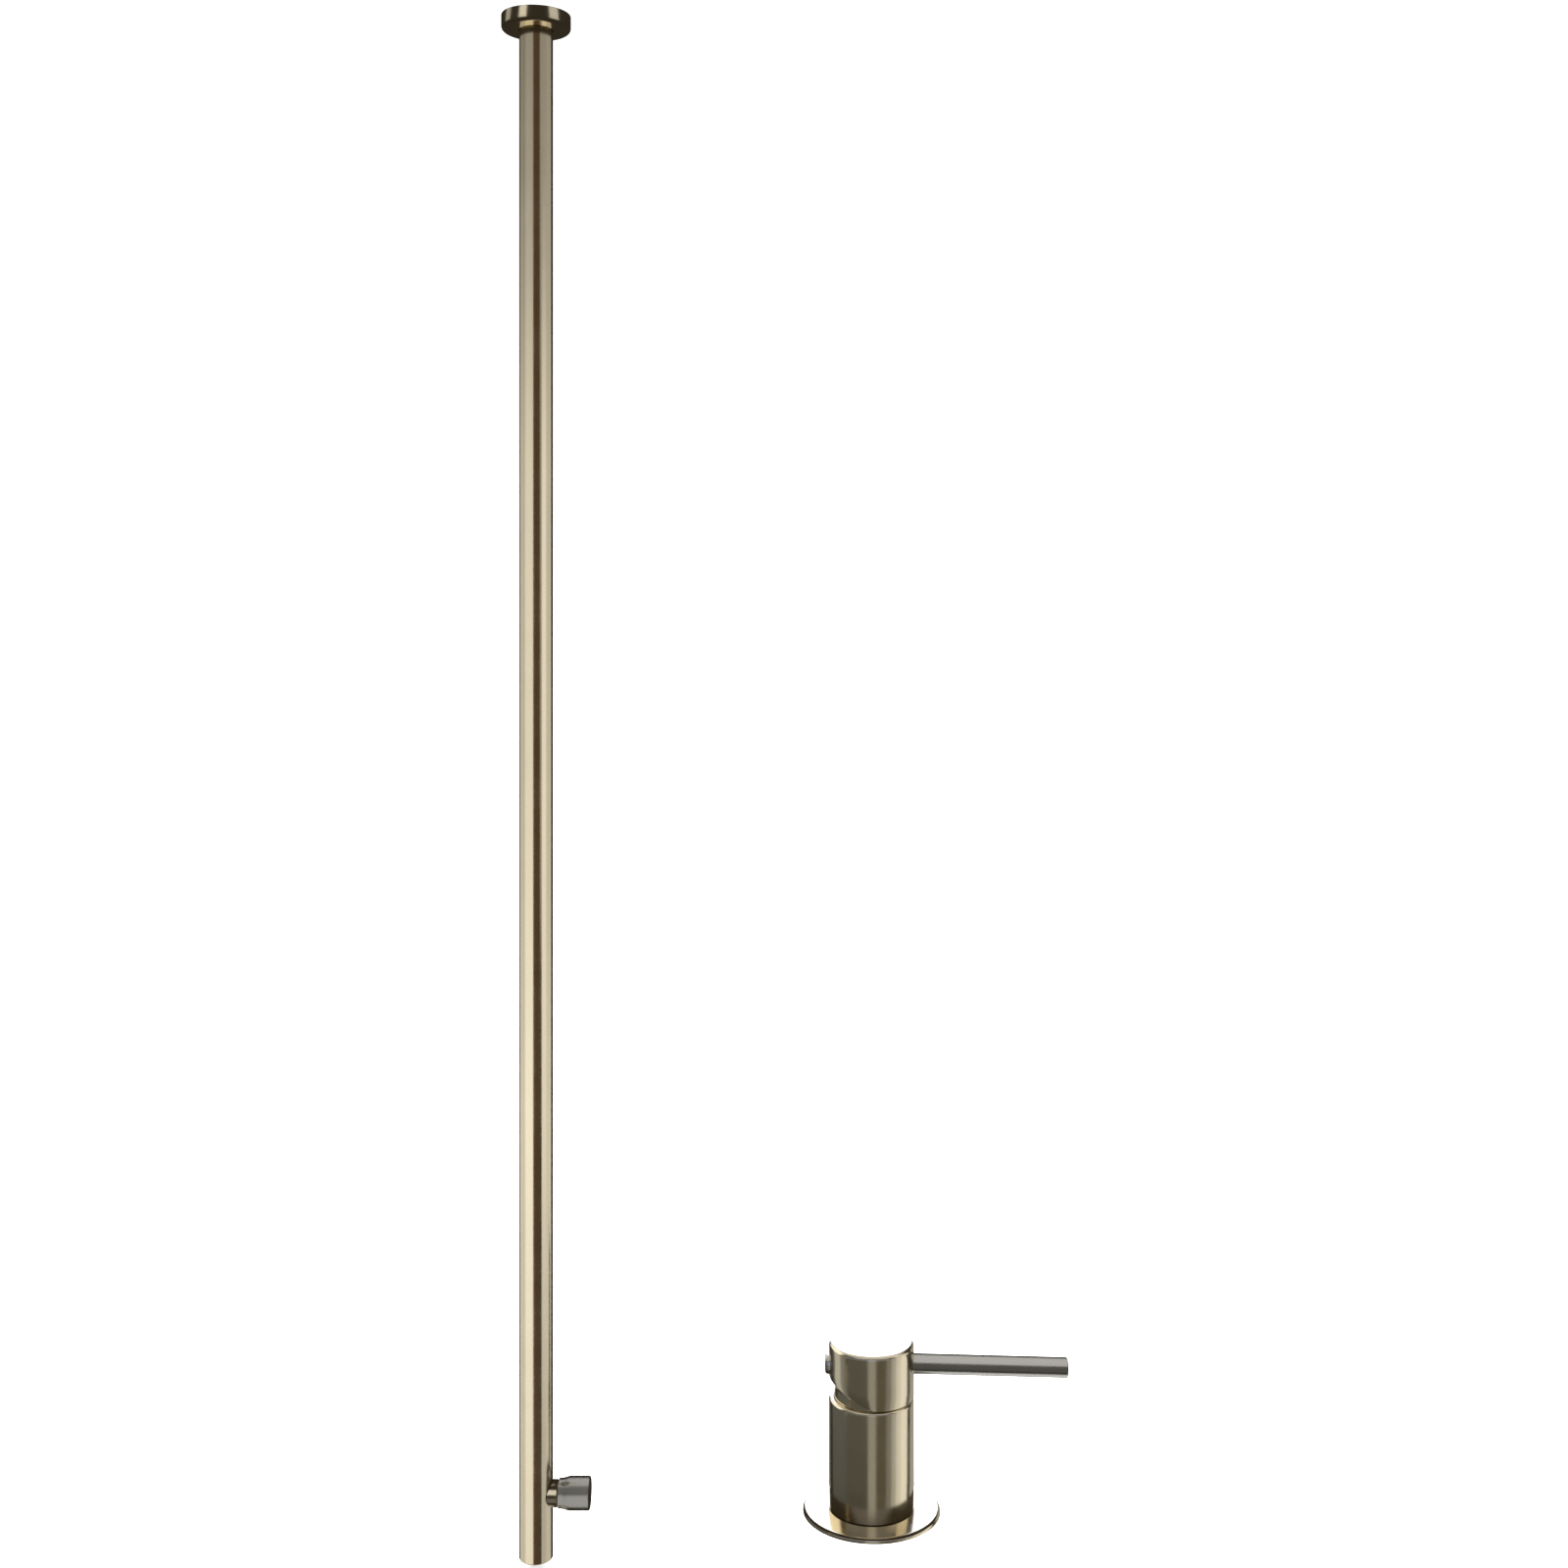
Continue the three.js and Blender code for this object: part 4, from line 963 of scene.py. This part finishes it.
class TAP_OT_lever(bpy.types.Operator):
    """Makes the pin lever and the round stud at the back of the cap"""

    bl_idname = "tap.lever"
    bl_label = "Pin Lever"

    def execute(self, context):
        r = TAIL.radius
        pin_r, pin_start = 2.4 * MM, 4.1 * MM  # the reduced ends that meet inside the cap
        seat = BODY.radius - 1.5 * MM
        droop = math.radians(1.5)
        root = Vector((PIVOT.x + BODY.radius, PIVOT.y, TAIL.centre.z))
        reach = LEVER.end - PIVOT.x - r * math.sin(droop)
        edge, face = 0.8 * MM, r - 1.5 * MM
        outline = [(0.0, pin_start), (pin_r, pin_start), (pin_r, seat), (r, seat)]
        outline += [(r, seat + (reach - seat) * share) for share in (0.03, 0.35, 0.7)]
        outline += arc(r - edge, reach - edge, edge, 0, 90, 6)
        outline += [(face, reach), (0.0, reach)]
        place = Matrix.Translation(root) @ Matrix.Rotation(droop, 4, "Y")
        place = place @ Matrix.Translation((-BODY.radius, 0, 0)) @ LEVEL
        lever = turned_piece("pin_lever", outline, 96, place)
        hand_over(lever, "lift", "nickel_metal", nickel("lever nickel", TAIL.centre), "lever_rod")

        tip = TAIL.start - PIVOT.x
        back = 2.1 * MM - BODY.radius
        dome, crown, rise = 1.8 * MM, 0.12 * MM, 0.25 * MM
        outline = [(0.0, tip), (r * 0.45, tip + crown)]
        outline += arc(r - dome, tip + dome + rise, dome, 270, 360, 8)
        outline += [(r, back), (pin_r, back), (pin_r, -pin_start), (0.0, -pin_start)]
        place = Matrix.Translation((PIVOT.x, 0, 0)) @ along_x(TAIL.centre)
        stud = turned_piece("cap_stud", outline, 72, place)
        hand_over(stud, "lift", "nickel_metal", nickel("stud nickel", TAIL.centre), "tail_screw")
        return {"FINISHED"}


# ---------------------------------------------------------------- under the deck

class TAP_OT_shank(bpy.types.Operator):
    """Makes the threaded shank: a plain tube with a thread wound round its lower part"""

    bl_idname = "tap.shank"
    bl_label = "Threaded Shank"

    def execute(self, context):
        material = machined("shank brass", SHANK.centre, "Z", BRASS, 0.3)
        growth = Growth("Shank", {
            "Crest Radius": SHANK.radius - 0.02 * MM,
            "Bore Radius": SHANK.radius - 2.5 * MM,
            "Thread Depth": 0.75 * MM,
            "Pitch": 1.5 * MM,
            "Bottom": SHANK.start,
            "Top": SHANK.end,
            "Thread Start": SHANK.start + 1.6 * MM,
            "Thread End": PLATE.start + 1.5 * MM,
        }, {"Steps Round": 96})
        root = growth["Crest Radius"] - growth["Thread Depth"]
        wall = root - growth["Bore Radius"]
        tube = growth.tube(
            growth["Steps Round"], root - wall * 0.5, wall, growth["Top"] - growth["Bottom"], 0.5 * MM, 2,
        )
        tube = growth.moved(tube, 0.0, 0.0, (growth["Top"] + growth["Bottom"]) * 0.5)
        rise = growth["Thread End"] - growth["Thread Start"]
        winding = growth.node("GeometryNodeCurveSpiral", None, {
            "Resolution": growth["Steps Round"], "Rotations": rise / growth["Pitch"],
            "Start Radius": root, "End Radius": root, "Height": rise,
        })
        thread = growth.swept(winding, growth.circle(4, growth["Thread Depth"]), True)
        thread = growth.moved(thread, 0.0, 0.0, growth["Thread Start"])
        placed = growth.moved(growth.joined(tube, thread), SHANK.centre.x, SHANK.centre.y, 0.0)
        piece = growth.grow("threaded_shank", placed, material)
        hand_over(piece, "fixed", "bare_brass", material, "mounting_shank")
        return {"FINISHED"}


class TAP_OT_fixings(bpy.types.Operator):
    """Makes the rubber ring, the steel washer and the nut that clamp the mixer under the deck"""

    bl_idname = "tap.fixings"
    bl_label = "Deck Fixings"

    def execute(self, context):
        for node, name, slot, edge in (
            ("backing_rubber", "clamp_rubber", "black_rubber", 0.5 * MM),
            ("backing_washer", "clamp_washer", "steel", 0.25 * MM),
        ):
            ring = Round(node)
            bore, out = SHANK.radius + 0.4 * MM, ring.radius
            outline = arc(bore + edge, ring.start + edge, edge, 180, 270, 4)
            outline += arc(out - edge, ring.start + edge, edge, -90, 0, 4)
            outline += arc(out - edge, ring.end - edge, edge, 0, 90, 4)
            outline += arc(bore + edge, ring.end - edge, edge, 90, 180, 4)
            piece = turned_piece(name, outline, 96, upright(ring.centre))
            maker = INNER_FINISHES[slot]
            hand_over(piece, "fixed", slot, maker(name + " finish", ring.centre), node)

        bore, lead = SHANK.radius + GAP, 0.6 * MM
        wide, deep = NUT.high.x - NUT.low.x, NUT.high.y - NUT.low.y
        first_corner = 0 if wide > deep else 30  # in degrees from +X
        flat = max(wide, deep) / 2 * math.cos(math.radians(30))
        chamfer_from, chamfer_slope = flat - 0.2 * MM, math.tan(math.radians(28))
        steps = 96
        bm = bmesh.new()
        columns = []
        for i in range(steps):
            degrees = 360 * i / steps
            from_flat = math.radians((degrees - first_corner) % 60 - 30)
            out = flat / math.cos(from_flat)
            drop = max(0.15 * MM, (out - chamfer_from) * chamfer_slope)
            section = [
                (bore, NUT.start + lead), (bore + lead, NUT.start), (chamfer_from, NUT.start),
                (out, NUT.start + drop), (out, NUT.end - drop), (chamfer_from, NUT.end),
                (bore + lead, NUT.end), (bore, NUT.end - lead),
            ]
            turn = math.radians(degrees)
            columns.append([
                bm.verts.new((NUT.centre.x + r * math.cos(turn), NUT.centre.y + r * math.sin(turn), z))
                for r, z in section
            ])
        skin(bm, columns, True)
        nut = finish_mesh("clamp_nut", bm, 20.0)
        hand_over(nut, "fixed", "bare_brass", machined("nut brass", NUT.centre, "Z", BRASS), "shank_nut")
        return {"FINISHED"}


# ---------------------------------------------------------------- hidden pieces

PLAIN_NODES = {
    "bare_brass": (
        "ceiling_flange", "inlet_adaptor", "valve_body", "valve_gland", "seat_retainer", "cartridge_stem",
        "cartridge_nut",
    ),
    "steel": (
        "flange_grub_front", "flange_grub_back", "inlet_strainer", "valve_ball", "valve_spindle",
        "knob_grub", "turn_collar", "pivot_pin",
    ),
    "black_rubber": (
        "rose_o_ring", "inlet_o_ring", "spindle_o_ring", "outlet_washer", "base_gasket", "cartridge_seal",
    ),
    "cartridge_plastic": ("cartridge_base", "disc_carrier", "cartridge_housing"),
    "seat_plastic": ("valve_seat_upper", "valve_seat_lower"),
    "disc_ceramic": ("fixed_disc", "moving_disc"),
}


class TAP_OT_inner(bpy.types.Operator):
    """Gives the inner pieces their finishes"""

    bl_idname = "tap.inner"
    bl_label = "Inner Pieces"

    def execute(self, context):
        for slot, nodes in PLAIN_NODES.items():
            for node in nodes:
                low, high = corners_of(node)
                dress(bpy.data.objects[node], INNER_FINISHES[slot](node + " finish", (low + high) / 2))
        return {"FINISHED"}


# ---------------------------------------------------------------- studio

def area_light(name, at, aim, size, radiance, receivers, profile=None, color=(1, 1, 1)):
    """A soft rectangle that only its receivers see. profile is (share of its height, brightness) pairs."""
    width, height = size
    light = bpy.data.lights.new(name, "AREA")
    light.shape = "RECTANGLE"
    light.size, light.size_y = width, height
    light.energy = radiance * math.pi * width * height
    light.color = color
    if profile:
        light.use_nodes = True
        tree = Tree(light.node_tree.nodes, light.node_tree.links)
        place = tree.node("ShaderNodeNewGeometry", output="Parametric")
        rise = tree.node("ShaderNodeSeparateXYZ", None, {0: place}, output=1)
        stops = [(share, (value, value, value)) for share, value in profile]
        shade = tree.node("ShaderNodeValToRGB", {"stops": stops}, {0: rise})
        emission = next(node for node in tree.nodes if node.type == "EMISSION")
        tree.links.new(shade.link, emission.inputs["Color"])
    holder = bpy.data.objects.new(name, light)
    holder.location = at
    holder.rotation_euler = (Vector(aim) - Vector(at)).to_track_quat("-Z", "Y").to_euler()
    holder.visible_camera = False
    bpy.context.scene.collection.objects.link(holder)
    holder.light_linking.receiver_collection = receivers


def receiver_group(name, pieces):
    """A collection of the pieces that a light falls on."""
    group = bpy.data.collections.new(name)
    for piece in pieces:
        group.objects.link(piece)
    return group


def strip(name, target, bearings, levels, radiance, receivers, profile=None, color=(1, 1, 1)):
    """A tall soft strip between two bearings in degrees round target: 0 is in front, + to the right."""
    distance = 1.3
    first, last = (math.radians(bearing) for bearing in bearings)
    middle = (first + last) / 2
    low, high = levels
    width = 2 * distance * math.tan((last - first) / 2)
    aim = Vector((target.x, target.y, (low + high) / 2))
    at = aim + distance * Vector((math.sin(middle), -math.cos(middle), 0))
    area_light(name, at, aim, (width, high - low), radiance, receivers, profile, color)


def overhead(name, target, elevations, width, radiance, receivers):
    """A soft panel from side to side, between two elevations: 0 is level in front, 90 straight up."""
    distance = 0.8
    first, last = (math.radians(elevation) for elevation in elevations)
    middle = (first + last) / 2
    depth = 2 * distance * math.tan((last - first) / 2)
    at = target + distance * Vector((0, -math.cos(middle), math.sin(middle)))
    area_light(name, at, target, (width, depth), radiance, receivers)


def hide_from_metal(stage_piece):
    """Keeps the pale room out of the metal's reflections, which come from the soft panels alone."""
    stage_piece.visible_glossy = False
    stage_piece.visible_diffuse = False
    stage_piece.visible_shadow = False


class TAP_OT_studio(bpy.types.Operator):
    """Makes the pale floor and backdrop, the soft lights and the camera"""

    bl_idname = "tap.studio"
    bl_label = "Studio"

    def execute(self, context):
        studio = context.scene.tap_studio
        scene = context.scene
        deck = PLATE.start

        backdrop = self.sweep(deck)
        surround = self.surround(deck, backdrop.data.materials[0])
        shown = [
            piece for piece in scene.objects if piece.type == "MESH" and piece not in (backdrop, surround)
        ]
        split = (PIPE.high.x + PLATE.low.x) / 2
        named = {"rose_cover": "rose", "knob_grip": "knob", "knob_neck": "neck", "pin_lever": "lever"}
        groups = {"rose": [], "knob": [], "neck": [], "lever": [], "spout": [], "mixer": []}
        for piece in shown:
            corners = [piece.matrix_world @ Vector(corner) for corner in piece.bound_box]
            side = "spout" if sum(corner.x for corner in corners) / 8 < split else "mixer"
            groups[named.get(piece.name, side)].append(piece)
        rose, knob, neck, lever, spout, mixer = (
            receiver_group(name.title() + " Lit", pieces) for name, pieces in groups.items()
        )
        cap = receiver_group("Cap Lit", [bpy.data.objects["tilting_cap"]])
        upper = receiver_group("Upper Lit", [
            bpy.data.objects[name] for name in ("tilting_cap", "trim_dome", "mixer_barrel", "cap_stud")
        ])
        ground = receiver_group("Ground Lit", [backdrop])

        world = bpy.data.worlds.new("Studio Air")
        world.use_nodes = True
        world.node_tree.nodes["Background"].inputs["Color"].default_value = (0.034, 0.029, 0.022, 1)
        world.node_tree.nodes["Background"].inputs["Strength"].default_value = 1.0
        scene.world = world

        area_light("Ground Light", (0.1, -0.6, 2.2), (0.1, 0.2, deck), (4.0, 4.0), 9.0, ground)

        self.light_spout(spout)
        self.light_rose(rose)
        self.light_knob(knob, neck)
        self.light_mixer(mixer, cap, upper)
        self.light_lever(lever)

        camera = bpy.data.cameras.new("Camera")
        camera.sensor_width = 36
        camera.lens = studio.camera_lens
        camera.shift_y = studio.camera_shift
        camera.clip_start, camera.clip_end = 0.01, 100
        holder = bpy.data.objects.new("Camera", camera)
        holder.location = (
            PIPE.centre.x + studio.camera_side,
            PIPE.centre.y - studio.camera_distance,
            -studio.camera_drop,
        )
        holder.rotation_euler = (math.radians(90), 0, 0)
        scene.collection.objects.link(holder)
        scene.camera = holder
        scene.view_settings.view_transform = "Standard"
        return {"FINISHED"}

    @staticmethod
    def light_spout(spout):
        """Two broad soft banks with a dark gap between them, dimmer towards the ceiling."""
        tall = (-2.3, 0.9)
        shares = (0.0, 0.22, 0.38, 0.53, 0.69, 0.82, 0.92)
        left = list(zip(shares, (0.9, 0.98, 1.17, 0.92, 0.87, 0.42, 0.3)))
        right = list(zip(shares, (0.5, 0.55, 1.0, 1.04, 1.02, 0.38, 0.3)))
        side = list(zip(shares, (0.95, 1.0, 1.3, 1.04, 1.0, 0.65, 0.5)))
        centre = PIPE.centre
        strip("Spout Left Front", centre, (-72, -12), tall, 0.98, spout, left)
        strip("Spout Left Side", centre, (-130, -72), tall, 0.66, spout, left)
        strip("Spout Right Front", centre, (46, 80), tall, 0.9, spout, right)
        strip("Spout Right Middle", centre, (34, 46), (-0.8, 0.9), 0.3, spout)
        strip("Spout Right Side", centre, (80, 130), tall, 0.6, spout, side)
        strip("Spout Core", centre, (-12, 36), tall, 1.0, spout, None, (0.05, 0.024, 0.011))
        overhead("Spout Top", ROSE.centre, (60, 120), 0.9, 0.5, spout)
        overhead("Spout Low", HOUSING.centre, (-125, -55), 1.6, 0.5, spout)

    @staticmethod
    def light_rose(rose):
        """Three narrow glints on the dark side of the rose."""
        high = (0.0, 1.1)
        glint = [(0.0, 0.1), (0.2, 0.5), (0.35, 1.0), (0.6, 1.0)]
        strip("Rose Left", ROSE.centre, (-50, -24), high, 0.8, rose, glint)
        strip("Rose Right", ROSE.centre, (52, 86), high, 0.6, rose, glint)
        strip("Rose Far Left", ROSE.centre, (-110, -86), high, 0.4, rose, glint)

    @staticmethod
    def light_knob(knob, neck):
        """Soft light from above and below on the knob, and one streak along its neck."""
        overhead("Knob Top", KNOB_AXIS, (72, 140), 1.6, 0.48, knob)
        overhead("Knob Front", KNOB_AXIS, (20, 72), 1.6, 0.14, knob)
        overhead("Knob Low", KNOB_AXIS, (-80, 12), 1.6, 0.42, knob)
        overhead("Neck Streak", KNOB_AXIS, (8, 48), 1.6, 0.8, neck)
        overhead("Neck Low", KNOB_AXIS, (-60, -20), 1.6, 0.12, neck)

    @staticmethod
    def light_mixer(mixer, cap, upper):
        """A bank that brightens to the right, a thin streak in front, and a wall of light behind."""
        low_down = (-2.6, -0.5)
        rising = [(0.40, 0.8), (0.46, 0.9), (0.50, 1.0), (0.53, 1.1), (0.57, 1.3)]
        for name, bearings, radiance in (
            ("Mixer Right Inner", (38, 52), 0.18),
            ("Mixer Right Near", (52, 66), 0.4),
            ("Mixer Right Middle", (66, 82), 0.7),
            ("Mixer Right Far", (82, 108), 0.9),
            ("Mixer Right Edge", (122, 165), 0.36),
            ("Mixer Middle", (-12, 9), 0.3),
        ):
            strip(name, PIVOT, bearings, low_down, radiance, mixer)
        strip("Mixer Front Right", PIVOT, (9, 40), low_down, 0.07, mixer, None, (1, 0.93, 0.7))
        strip("Mixer Front Left", PIVOT, (-70, -12), low_down, 0.06, mixer, rising, (0.95, 1, 0.95))
        strip("Mixer Left", PIVOT, (-130, -70), low_down, 0.075, mixer, rising, (0.9, 1, 1.08))
        strip("Cap Left", PIVOT, (-118, -94), low_down, 0.42, cap)
        strip("Cap Left Near", PIVOT, (-94, -78), low_down, 0.12, cap)
        strip("Mixer Back Low", PIVOT, (165, 210), (-2.6, -0.95), 0.25, mixer)
        strip("Mixer Back High", PIVOT, (160, 200), (-0.8, 0.9), 2.5, mixer, None, (0.92, 1, 1.3))
        strip("Upper Side High", PIVOT, (66, 104), (-0.5, 0.9), 0.7, upper)
        strip("Upper Rim Left", PIVOT, (-152, -92), (-0.62, 0.5), 1.3, upper)
        strip("Mixer Front High", PIVOT, (-12, 9), (-0.6, 0.0), 0.3, mixer, None, (0.9, 1, 1.3))
        strip("Mixer Front Broad", PIVOT, (-70, 60), (-0.7, 0.4), 0.15, mixer, None, (0.9, 1, 1.4))
        overhead("Upper Top", PIVOT, (50, 130), 1.4, 0.6, upper)

    @staticmethod
    def light_lever(lever):
        """Light above and below the lever, so that a dark line runs along its middle."""
        overhead("Lever Top", PIVOT, (32, 135), 1.6, 0.6, lever)
        overhead("Lever Front", PIVOT, (-40, 32), 1.6, 0.07, lever)
        overhead("Lever Under", PIVOT, (-125, -68), 1.2, 0.75, lever)

    @staticmethod
    def surround(deck, paper):
        """A large pale shell, seen only below the floor and over its rim."""
        shell = turned_piece("Surround", arc(0, deck, 14.0, -90, 90, 24), 48)
        dress(shell, paper)
        hide_from_metal(shell)
        return shell

    @staticmethod
    def sweep(deck):
        """A wide round floor that curves up into a wall all round."""
        floor_r, bend, top = 5.0, 2.0, 9.0
        outline = [(0.0, deck), (1.0, deck)] + arc(floor_r - bend, deck + bend, bend, -90, 0, 12)
        outline.append((floor_r, deck + top))
        backdrop = turned_piece("Backdrop", outline, 96)
        paper = Finish("backdrop paper", 0.0)
        fibre = paper.noise(paper.place((0, 0, 0)), 3.0, 4.0)
        paper.feed("Base Color", paper.tint(
            paper.spread(fibre, 0.3, 0.7), (0.93, 0.93, 0.93), (0.90, 0.90, 0.90),
        ))
        paper.feed("Emission Color", (1, 1, 1, 1))
        paper.feed("Emission Strength", 0.75)
        paper.feed("Roughness", 0.9)
        paper.material.cycles.emission_sampling = "NONE"
        dress(backdrop, paper.material)
        hide_from_metal(backdrop)
        return backdrop


# ---------------------------------------------------------------- panel and run

STEPS = (
    "rose", "pipe", "outlet", "knob", "base", "body", "trim", "cap", "lever", "shank", "fixings", "inner",
    "studio",
)


class TAP_PT_panel(bpy.types.Panel):
    """Lists the steps in the order that they run"""

    bl_idname = "TAP_PT_panel"
    bl_label = "Tap Set"
    bl_space_type = "VIEW_3D"
    bl_region_type = "UI"
    bl_category = "Tap Set"

    def draw(self, context):
        for step in STEPS:
            self.layout.operator("tap." + step)
        for group in (context.scene.tap_finish, context.scene.tap_studio):
            for name in group.__annotations__:
                self.layout.prop(group, name)


CLASSES = (
    FinishSettings, StudioSettings, TAP_OT_rose, TAP_OT_pipe, TAP_OT_outlet, TAP_OT_knob, TAP_OT_base,
    TAP_OT_body, TAP_OT_trim, TAP_OT_cap, TAP_OT_lever, TAP_OT_shank, TAP_OT_fixings, TAP_OT_inner,
    TAP_OT_studio, TAP_PT_panel,
)


def register():
    for cls in CLASSES:
        bpy.utils.register_class(cls)
    bpy.types.Scene.tap_finish = PointerProperty(type=FinishSettings)
    bpy.types.Scene.tap_studio = PointerProperty(type=StudioSettings)


def unregister():
    del bpy.types.Scene.tap_studio
    del bpy.types.Scene.tap_finish
    for cls in reversed(CLASSES):
        bpy.utils.unregister_class(cls)


def main():
    register()
    for step in STEPS:
        getattr(bpy.ops.tap, step)()


if __name__ == "__main__":
    main()
